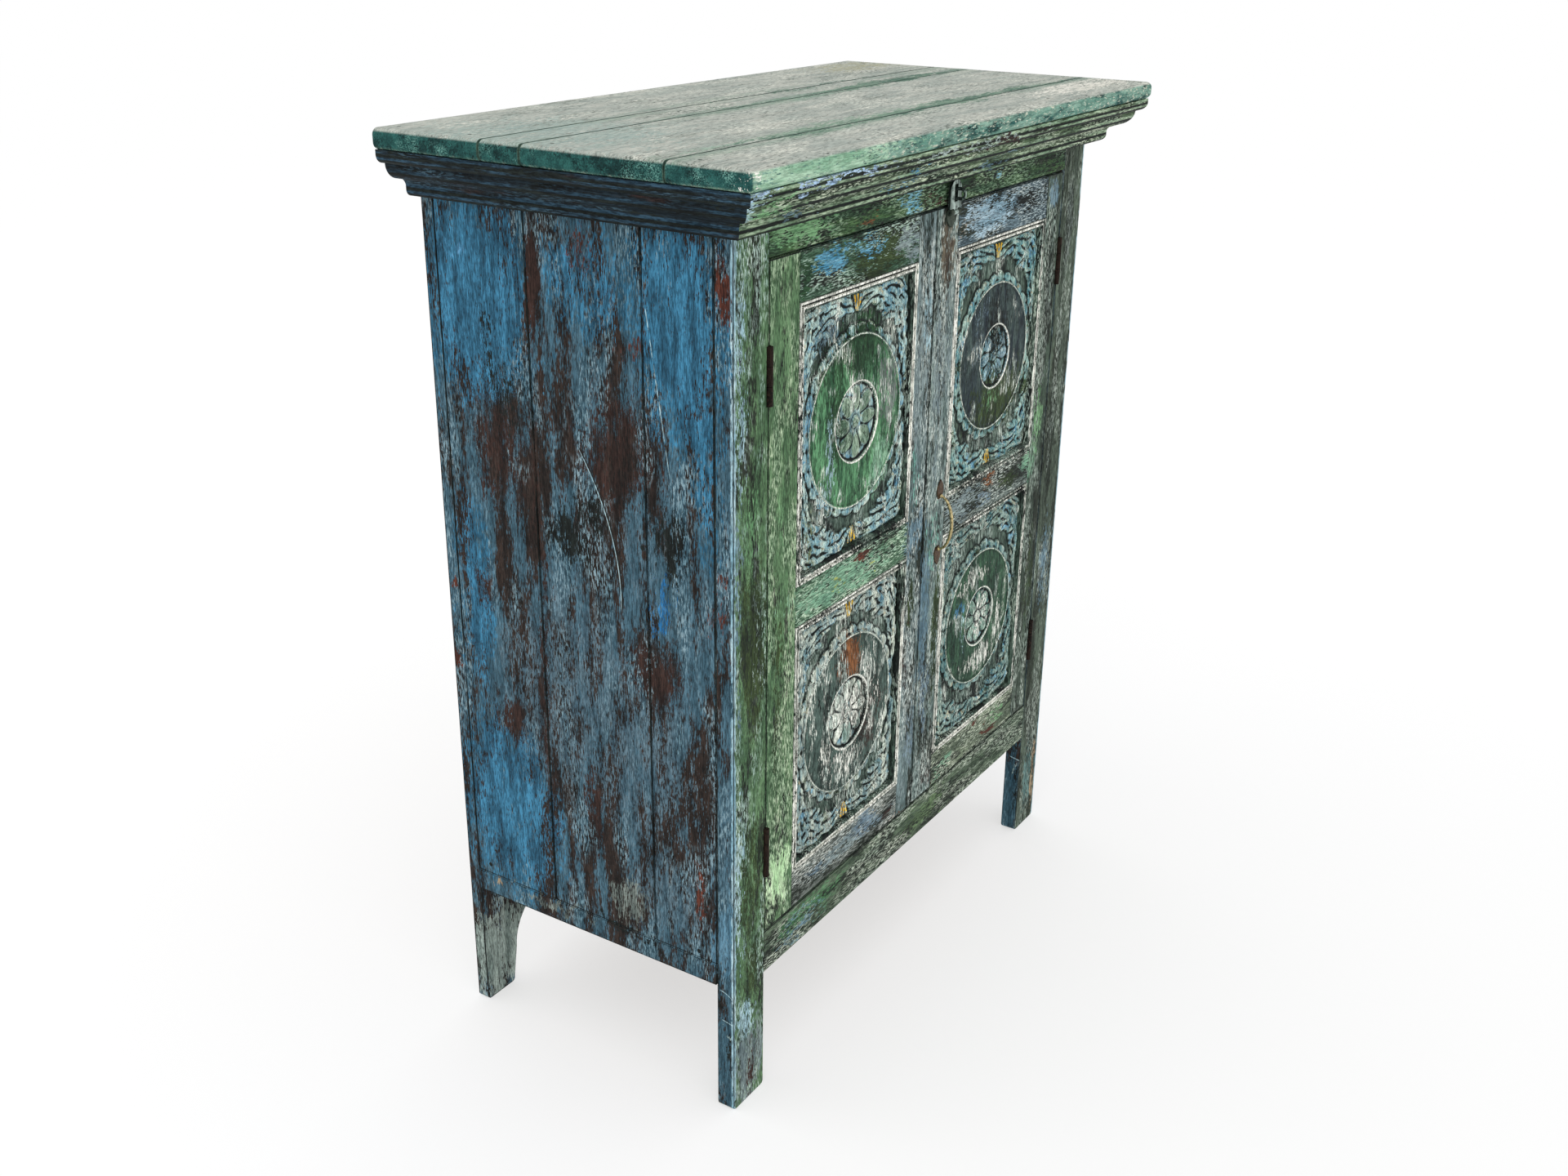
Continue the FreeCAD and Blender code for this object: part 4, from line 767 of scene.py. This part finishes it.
def dress_nodes():
    """Give every CAD node but the panels and the bow a material, by its name or its slot."""
    slots = {row["node"]: row["material_slot"] for row in frame["record"]["subparts"]}
    metals = {"rusted_iron": metal_material("rusted_iron", RUST, 0.2, 0.75),
              "pull_plates": metal_material("brown_plate", ("2e231b", "64503c"), 0.4, 0.5),
              "hasp_plate": metal_material("plate_iron", ("232a24", "4a554a"), 0.2, 0.6),
              "painted_iron": iron_material()}
    painters = {"side_paint": side_material, "bleached_top": top_material,
                "cornice_paint": cornice_material, "bare_wood": plain_wood}
    for name in nodes:
        if name in PANEL_TONES or name == "pull_bow":
            continue
        slot = slots[name]
        if name in metals:
            material = metals[name]
        elif slot in metals:
            material = metals[slot]
        elif slot in painters:
            material = painters[slot](name)
        elif name.endswith("post"):
            material = post_material(name)
        elif name.endswith("mouldings"):
            material = moulding_material(name)
        else:
            material = frame_material(name)
        mesh = nodes[name].data
        mesh.materials.clear()
        mesh.materials.append(material)


# The pull's bow, as a smooth bent wire that stands for the CAD's straight runs

BOW_STEPS = 48
BOW_SIDES = 16
BOW_END = 1.3 * MM
BOW_MIDDLE = 2.1 * MM
BOW_COLLAR = 1.6 * MM
COLLAR_SHARE = 0.05


def make_pull():
    """The brass bow: an oval half ring, thickest in its middle, with a collar at each end."""
    low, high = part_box("pull_bow")
    middle_x = (low.x + high.x) / 2
    middle_z = (low.z + high.z) / 2
    half_span = (high.z - low.z) / 2 - BOW_MIDDLE
    reach = high.y - low.y - BOW_MIDDLE
    vertices = []
    for step in range(BOW_STEPS + 1):
        share = step / BOW_STEPS
        turn = math.pi * share
        collar = max(0.0, 1 - min(share, 1 - share) / COLLAR_SHARE)
        radius = BOW_END + (BOW_MIDDLE - BOW_END) * math.sin(turn) + BOW_COLLAR * collar ** 0.5
        outwards = Vector((0, -math.sin(turn) * half_span, math.cos(turn) * reach)).normalized()
        centre = Vector((middle_x, high.y - reach * math.sin(turn), middle_z + half_span * math.cos(turn)))
        for side in range(BOW_SIDES):
            angle = 2 * math.pi * side / BOW_SIDES
            vertices.append(centre + Vector((math.cos(angle), 0, 0)) * radius
                            + outwards * math.sin(angle) * radius)
    faces = [(step * BOW_SIDES + side, step * BOW_SIDES + (side + 1) % BOW_SIDES,
              (step + 1) * BOW_SIDES + (side + 1) % BOW_SIDES, (step + 1) * BOW_SIDES + side)
             for step in range(BOW_STEPS) for side in range(BOW_SIDES)]
    faces.append(tuple(reversed(range(BOW_SIDES))))
    faces.append(tuple(BOW_STEPS * BOW_SIDES + side for side in range(BOW_SIDES)))
    bow = add_mesh("pull_bow_wire", vertices, faces, smooth=True)
    bow.data.materials.append(metal_material("old_brass", ("7c6d48", "c4b589"), 0.9, 0.3))
    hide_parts("pull_bow")
    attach(bow, "right_door")


# Carved panels, as fine relief meshes that stand for the CAD's plainer ones

PANEL_STEP = 1.25 * MM
TONGUE = 7 * MM
PANEL_THICKNESS = 9 * MM
MOULDING = 10 * MM
FALL_OFF = 2 * MM
ROUGH_HEIGHT = 0.16 * MM
# The height above or below its blurred surroundings at which the relief gets a full painted highlight or
# painted shade, and how many rounds of blur it is measured against
CREST_HEIGHT = 0.8 * MM
CREST_ROUNDS = 10
SWAYS = 4
SWAY = 0.8 * MM

# The medallion's parts, with the petals' middles, lengths and widths as shares of the inner ring

RING_BAND = 13 * MM
MEDALLION_MARGIN = {"left": 13 * MM, "right": 16 * MM}
INNER_SHARE = {"left": 0.415, "right": 0.385}
BEAD = 1.7 * MM
RIM_HEIGHT = 4.9 * MM
INNER_HEIGHT = 6.0 * MM
SCALLOPS = 30
SCALLOP_DEPTH = 5.0 * MM
SCALLOP_HEIGHT = 3.0 * MM
WELL_HEIGHT = 2.2 * MM
PETALS = 8
PETAL_MIDDLE = 0.6
PETAL_LENGTH = 0.33
PETAL_WIDTH = 0.205
PETAL_HEIGHT = 3.4 * MM
PETAL_CREASE = 1.2 * MM
EYE_RADIUS = 7 * MM
EYE_DIMPLE = 2.2 * MM
TUFT_LENGTH = 19 * MM
TUFT_HEIGHT = 3.2 * MM

# The leaves at a panel's upper right: three points that steer each, and its half width

LEAVES = (((10, 124), (50, 142), (86, 112), 11.0), ((40, 134), (76, 144), (106, 128), 10.0),
          ((60, 106), (96, 122), (102, 84), 13.0), ((86, 92), (110, 90), (103, 50), 10.0),
          ((96, 70), (109, 56), (106, 22), 6.5), ((78, 118), (99, 136), (106, 104), 10.0),
          ((44, 118), (66, 130), (84, 104), 9.0), ((14, 134), (34, 142), (58, 136), 7.0),
          ((92, 116), (106, 100), (94, 76), 7.0))

# Half the width and height that these leaves are drawn for, and how each is cut

LEAF_REFERENCE = (111.6, 141.7)
LEAF_HEIGHT = 5.0 * MM
LEAF_SAMPLES = 60
LEAF_STRAY = 2
LEAF_LOBES = 4
LOBE_DEPTH = 0.2


def blurred(field, rounds):
    """A field softened by averaging each point with its neighbours."""
    for _ in range(rounds):
        edge = np.pad(field, 1, mode="edge")
        field = (edge[1:-1, 1:-1] * 2 + edge[:-2, 1:-1] + edge[2:, 1:-1] + edge[1:-1, :-2]
                 + edge[1:-1, 2:]) / 6
    return field


def step_between(value, low, high):
    """A smooth step from 0 at low to 1 at high."""
    share = np.clip((value - low) / (high - low), 0, 1)
    return share * share * (3 - 2 * share)


def leaf_relief(across, up, steer, half_width):
    """The height from 0 to 1 of one carved leaf along a curve through its steering points."""
    first, middle, last = (np.array(point) * MM for point in steer)
    reach = 1.4 * half_width * MM
    low = np.minimum(np.minimum(first, middle), last) - reach
    high = np.maximum(np.maximum(first, middle), last) + reach
    near = (across > low[0]) & (across < high[0]) & (up > low[1]) & (up < high[1])
    height = np.zeros(across.shape)
    across, up = across[near], up[near]
    nearest = np.full(across.shape, 9.0)
    aside = np.zeros(across.shape)
    along = np.zeros(across.shape)
    for share in np.linspace(0, 1, LEAF_SAMPLES):
        point = (1 - share) ** 2 * first + 2 * share * (1 - share) * middle + share ** 2 * last
        heading = (1 - share) * (middle - first) + share * (last - middle)
        heading = heading / np.hypot(*heading)
        width = half_width * MM * (0.2 + 0.9 * math.sin(math.pi * min(share * 0.8 + 0.14, 1)))
        width *= 1 + LOBE_DEPTH * math.sin(2 * LEAF_LOBES * math.pi * share)
        dx, dz = across - point[0], up - point[1]
        distance = np.hypot(dx, dz) / width
        closer = distance < nearest
        nearest = np.where(closer, distance, nearest)
        aside = np.where(closer, (dx * heading[1] - dz * heading[0]) / width, aside)
        along = np.where(closer, share, along)
    body = np.clip(1 - nearest ** 2, 0, 1) ** 0.5
    veins = np.cos(np.pi * (aside + 0.25 * np.sin(5 * along))) ** 2
    height[near] = body * (0.3 + 0.7 * veins) * (0.75 + 0.35 * along)
    return height


def corner_leaves(across, up, half_x, half_z, random):
    """The leaves of the four corners, each cut a little differently."""
    height = np.zeros(across.shape)
    scale_x = half_x / (LEAF_REFERENCE[0] * MM)
    scale_z = half_z / (LEAF_REFERENCE[1] * MM)
    for side in (1, -1):
        for end in (1, -1):
            for *steer, half_width in LEAVES:
                shifted = [((x + random.uniform(-LEAF_STRAY, LEAF_STRAY)) * scale_x * side,
                            (z + random.uniform(-LEAF_STRAY, LEAF_STRAY)) * scale_z * end)
                           for x, z in steer]
                height = np.maximum(height, leaf_relief(across, up, shifted, half_width))
    return height


def swayed(across, up, random):
    """The place with the slow unevenness of handwork: a few random waves, 25 to 60 mm long."""
    shifts = []
    for _ in range(2):
        shift = np.zeros(across.shape)
        for _ in range(SWAYS):
            heading = random.uniform(0, 2 * math.pi)
            wave = 2 * math.pi / (random.uniform(25, 60) * MM)
            phase = random.uniform(0, 2 * math.pi)
            run = across * math.cos(heading) + up * math.sin(heading)
            shift += SWAY * np.sin(wave * run + phase)
        shifts.append(shift)
    return across + shifts[0], up + shifts[1]


def carve(across, up, half_x, half_z, side, random):
    """The relief of a panel in metres, and the masks that its paint follows."""
    medallion = half_x + MOULDING - MEDALLION_MARGIN[side]
    ring = medallion - RING_BAND
    inner = medallion * INNER_SHARE[side]
    radius = np.hypot(across, up)
    swayed_across, swayed_up = swayed(across, up, random)
    angle = np.arctan2(swayed_up, swayed_across)

    leaves = corner_leaves(swayed_across, swayed_up, half_x, half_z, random)
    leaves *= step_between(radius, medallion - 1 * MM, medallion + 1.5 * MM)
    relief = LEAF_HEIGHT * leaves

    wave = np.abs(np.cos(angle * SCALLOPS / 2))
    lip = medallion + (swayed_up - up) - SCALLOP_DEPTH * (1 - wave ** 0.6)
    scallop = step_between(lip - radius, 0, 2.2 * MM) * (0.55 + 0.45 * wave)
    relief = np.maximum(relief, SCALLOP_HEIGHT * scallop * (radius > ring))

    disc = step_between(ring + BEAD - radius, 0, 1.2 * MM)
    slope = np.clip((radius - inner) / (ring - inner), 0, 1)
    dome = (2.4 + 2.6 * np.sqrt(np.clip(1 - slope ** 2, 0, 1))) * MM
    relief = np.where(radius < ring + BEAD, np.maximum(relief * (1 - disc), dome * disc), relief)

    well = step_between(inner - radius, -0.6 * MM, 1.4 * MM)
    relief = relief * (1 - well) + WELL_HEIGHT * well
    turn = ((angle * PETALS / (2 * math.pi) + 0.5) % 1 - 0.5) * 2 * math.pi / PETALS
    from_petal = np.hypot((radius * np.cos(turn) - PETAL_MIDDLE * inner) / (PETAL_LENGTH * inner),
                          radius * np.sin(turn) / (PETAL_WIDTH * inner))
    petal = np.sqrt(np.clip(1 - from_petal ** 2, 0, 1))
    petal *= 1 - 0.4 * np.exp(-(radius * np.sin(turn) / PETAL_CREASE) ** 2)
    relief += PETAL_HEIGHT * petal * (radius < inner)
    eye = np.sqrt(np.clip(1 - (radius / EYE_RADIUS) ** 2, 0, 1))
    dimple = 1 - 0.5 * np.exp(-(radius / EYE_DIMPLE) ** 2)
    relief = np.maximum(relief, (WELL_HEIGHT + PETAL_HEIGHT * eye * dimple) * (radius < EYE_RADIUS))

    lines = {}
    for name, middle, height in (("rim", ring, RIM_HEIGHT), ("inner", inner, INNER_HEIGHT)):
        lines[name] = np.sqrt(np.clip(1 - ((radius - middle) / BEAD) ** 2, 0, 1))
        relief = np.maximum(relief, height * lines[name] ** 0.6 * (lines[name] > 0))

    tuft = np.zeros(across.shape)
    for end in (1, -1):
        rise = np.clip((up * end - (half_z - TUFT_LENGTH - 2 * MM)) / TUFT_LENGTH, 0, 1)
        fan = np.abs(across) / (3 * MM + 6 * MM * rise)
        blades = 0.6 + 0.4 * np.cos(fan * 2.5 * math.pi)
        tuft = np.maximum(tuft, (fan < 1) * (rise > 0) * (rise < 1) * blades)
    relief = np.maximum(relief, TUFT_HEIGHT * tuft)
    return relief, {"disc": disc * (1 - well), "well": well, "tuft": tuft, **lines}


def grid_faces(count_x, count_z):
    """The corners round the edge of a grid, and the faces of a block whose front it is."""
    first = count_x * count_z
    numbers = np.arange(first).reshape(count_z, count_x)
    edge = [*numbers[0].tolist(), *numbers[1:, -1].tolist(), *numbers[-1, -2::-1].tolist(),
            *numbers[-2:0:-1, 0].tolist()]
    faces = [(at, at + 1, at + count_x + 1, at + count_x) for at in numbers[:-1, :-1].ravel().tolist()]
    for at in range(len(edge)):
        after = (at + 1) % len(edge)
        faces.append((edge[after], edge[at], first + at, first + after))
    faces.append(tuple(first + at for at in reversed(range(len(edge)))))
    return edge, faces


def carved_panel(node, seed):
    """A carved panel in the place of its CAD node."""
    low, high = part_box(node)
    side = node.split("_")[0]
    random = np.random.default_rng(seed)
    centre = (low + high) / 2
    half_x = (high.x - low.x) / 2 - TONGUE - MOULDING
    half_z = (high.z - low.z) / 2 - TONGUE - MOULDING
    ground = high.y - PANEL_THICKNESS
    count_x = round((high.x - low.x) / PANEL_STEP) + 1
    count_z = round((high.z - low.z) / PANEL_STEP) + 1
    xs = np.linspace(low.x, high.x, count_x)
    zs = np.linspace(low.z, high.z, count_z)
    across, up = np.meshgrid(xs - centre.x, zs - centre.z)
    relief, masks = carve(across, up, half_x, half_z, side, random)
    inside = step_between(half_x + FALL_OFF - np.abs(across), 0, FALL_OFF) * step_between(
        half_z + FALL_OFF - np.abs(up), 0, FALL_OFF)
    rough = blurred(random.normal(0, 1, across.shape), 3)
    relief = np.maximum(blurred(relief, 1) * inside + ROUGH_HEIGHT * rough * inside, 0)
    front = np.stack([across + centre.x, ground - relief, up + centre.z], -1).reshape(-1, 3)
    edge, faces = grid_faces(count_x, count_z)
    rear = front[edge].copy()
    rear[:, 1] = high.y
    piece = add_mesh(node + "_carved", np.vstack([front, rear]), faces, smooth=True)
    piece.data.polygons[-1].use_smooth = False
    masks["level"] = np.clip(relief / LEAF_HEIGHT, 0, 1)
    # Relief below its blurred surroundings is a hollow, which gets painted shade; relief above them is a
    # crest, which gets a painted highlight.
    above = (relief - blurred(relief, CREST_ROUNDS)) / CREST_HEIGHT
    masks["hollow"] = np.clip(-above, 0, 1)
    masks["crest"] = np.clip(above, 0, 1)
    for name, field in masks.items():
        values = np.concatenate([field.reshape(-1), np.zeros(len(rear))]).astype(np.float32)
        attribute = piece.data.attributes.new(name, "FLOAT", "POINT")
        attribute.data.foreach_set("value", values)
    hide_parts(node)
    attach(piece, side + "_door")
    return piece


# The patches on the carved panels, along X and Z

PANEL_PATCHES = (
    (MINT, -112, 700, 24, 30, 0.78), (GREEN_DEEP, -165, 840, 70, 34, 0.75), (GREY, -92, 790, 26, 70, 0.6),
    (GREEN_DEEP, -206, 760, 22, 70, 0.7), (BLUE_PALE, -218, 720, 12, 70, 0.42),
    (("5f6a4c", "8a9070"), -250, 660, 26, 60, 0.45), (BLUE_GREY, -225, 870, 44, 26, 0.5),
    (ORANGE_BROWN, -160, 480, 24, 24, 0.75), (BROWN, -120, 400, 44, 60, 0.6),
    (SOOT_AND_SHADE, -190, 440, 40, 30, 0.5), (WHITE, -124, 456, 20, 22, 0.5), (WHITE, -108, 412, 26, 40, 0.36),
    (WHITE, -175, 345, 50, 20, 0.42), (WHITE, -214, 375, 12, 34, 0.5), (WHITE, -162, 411, 36, 36, 0.6),
    (SLATE, 140, 800, 30, 60, 0.4), (SOOT_AND_SHADE, 176, 800, 50, 60, 0.55), (OLIVE, 185, 704, 64, 36, 0.85),
    (GREEN_LIGHT, 170, 712, 40, 20, 0.35), (SLATE, 198, 758, 10, 22, 0.4),
    (BLUE_BRIGHT, 120, 440, 14, 16, 0.5), (WHITE, 180, 350, 60, 20, 0.5), (WHITE, 150, 470, 50, 14, 0.48),
    (WHITE, 232, 390, 24, 26, 0.48), (WHITE, 174, 410, 32, 32, 0.55), (BLUE_PALE, 130, 410, 16, 40, 0.4))


# Each panel's disc, its well, the leaves round them, and how much of it is scratched

PANEL_TONES = {
    "left_door_upper_panel": (("2b5038", "5c8e66"), ("4b6653", "9ab09a"), ("6190a0", "b6cdc2"), 0.34),
    "left_door_lower_panel": (("2b3a35", "52665f"), ("7b968c", "dde2d6"), ("64868e", "c0c9ba"), 0.4),
    "right_door_upper_panel": (("222c33", "43524f"), ("3a5a66", "8fb0ba"), ("4c8088", "9db9ae"), 0.3),
    "right_door_lower_panel": (("243a30", "3f6049"), ("46695a", "93b0a2"), ("3f6a6e", "94aaa0"), 0.3)}


# What has run over the leaves: a colour, its share and how large its stains are

LEAF_STAINS = ((("8b8669", "b9b49a"), 0.22, 0.014), (("4a7c96", "7fabbd"), 0.24, 0.022),
               (("2b3b2a", "4c5c42"), 0.26, 0.03))


def carved_material(node):
    """Carved panel: leaves over a dark ground, painted shade in the hollows and a painted highlight on the
    crests, a disc of its own colour, and whitish rings.
    """
    coats = Coats("carving_" + node, SOOT_AND_SHADE, "z")
    disc_tones, well_tones, leaf_tones, scratched = PANEL_TONES[node]
    brush(coats, SOOT_AND_SHADE, ("31423b", "55675c"), ("6b7d76", "93a097"), 0.64, 0.4)
    raised = coats.rise(coats.sum("MULTIPLY_ADD", coats.breaks, 0.7, coats.attribute("level")), 0.56, 0.74)
    coats.coat(leaf_tones, raised)
    for codes, cover, size in LEAF_STAINS:
        coats.coat(codes, coats.flaked(raised, cover, size, 1.0, 0.04))
    disc = coats.rise(coats.attribute("disc"), 0.3, 0.7)
    coats.coat(disc_tones, disc)
    well = coats.rise(coats.attribute("well"), 0.3, 0.7)
    coats.coat(well_tones, coats.both(well, coats.rise(coats.attribute("level"), 0.5, 0.8)))
    coats.patches(node, "xz", PANEL_PATCHES)
    # Painted shade: the hollows of the carving are darkened.
    coats.coat(SOOT_AND_SHADE, coats.rise(coats.attribute("hollow"), 0.12, 0.7))
    # Painted highlight: pale flakes on the crests of the carving.
    crest = coats.rise(coats.attribute("crest"), 0.3, 0.9)
    coats.coat(("93aaa2", "b9c2b2"), coats.flaked(crest, 0.46, 0.0022))
    scratches = coats.flaked(coats.flakes(0.45, 0.0018, 7, 0.02, 3), scratched, 0.03, 2, 0.05)
    coats.coat(("a9b8b0", "e2e5da"), scratches, 0.06)
    coats.coat(SOOT_AND_SHADE, coats.flaked(coats.flakes(0.36, 0.0016, 6), 0.4, 0.03, 2, 0.08), -0.1)
    rim = coats.rise(coats.attribute("rim"), 0.7, 0.95)
    coats.coat(("a9b5aa", "e0e3d8"), coats.flaked(rim, 0.66, 0.005, 1), 0.05)
    inner = coats.rise(coats.attribute("inner"), 0.62, 0.9)
    coats.coat(WHITE, coats.flaked(inner, 0.8, 0.0035, 1), 0.1)
    if node != "right_door_lower_panel":
        tuft = coats.rise(coats.attribute("tuft"), 0.5, 0.7)
        coats.coat(YELLOW, coats.flaked(tuft, 0.62, 0.004, 1), 0.1)
    return coats.finish()


def carve_panels():
    """The four carved panels."""
    for seed, name in enumerate(PANEL_TONES):
        piece = carved_panel(name, seed)
        piece.data.materials.append(carved_material(name))


make_camera()
make_floor()
make_light()
dress_nodes()
make_pull()
carve_panels()
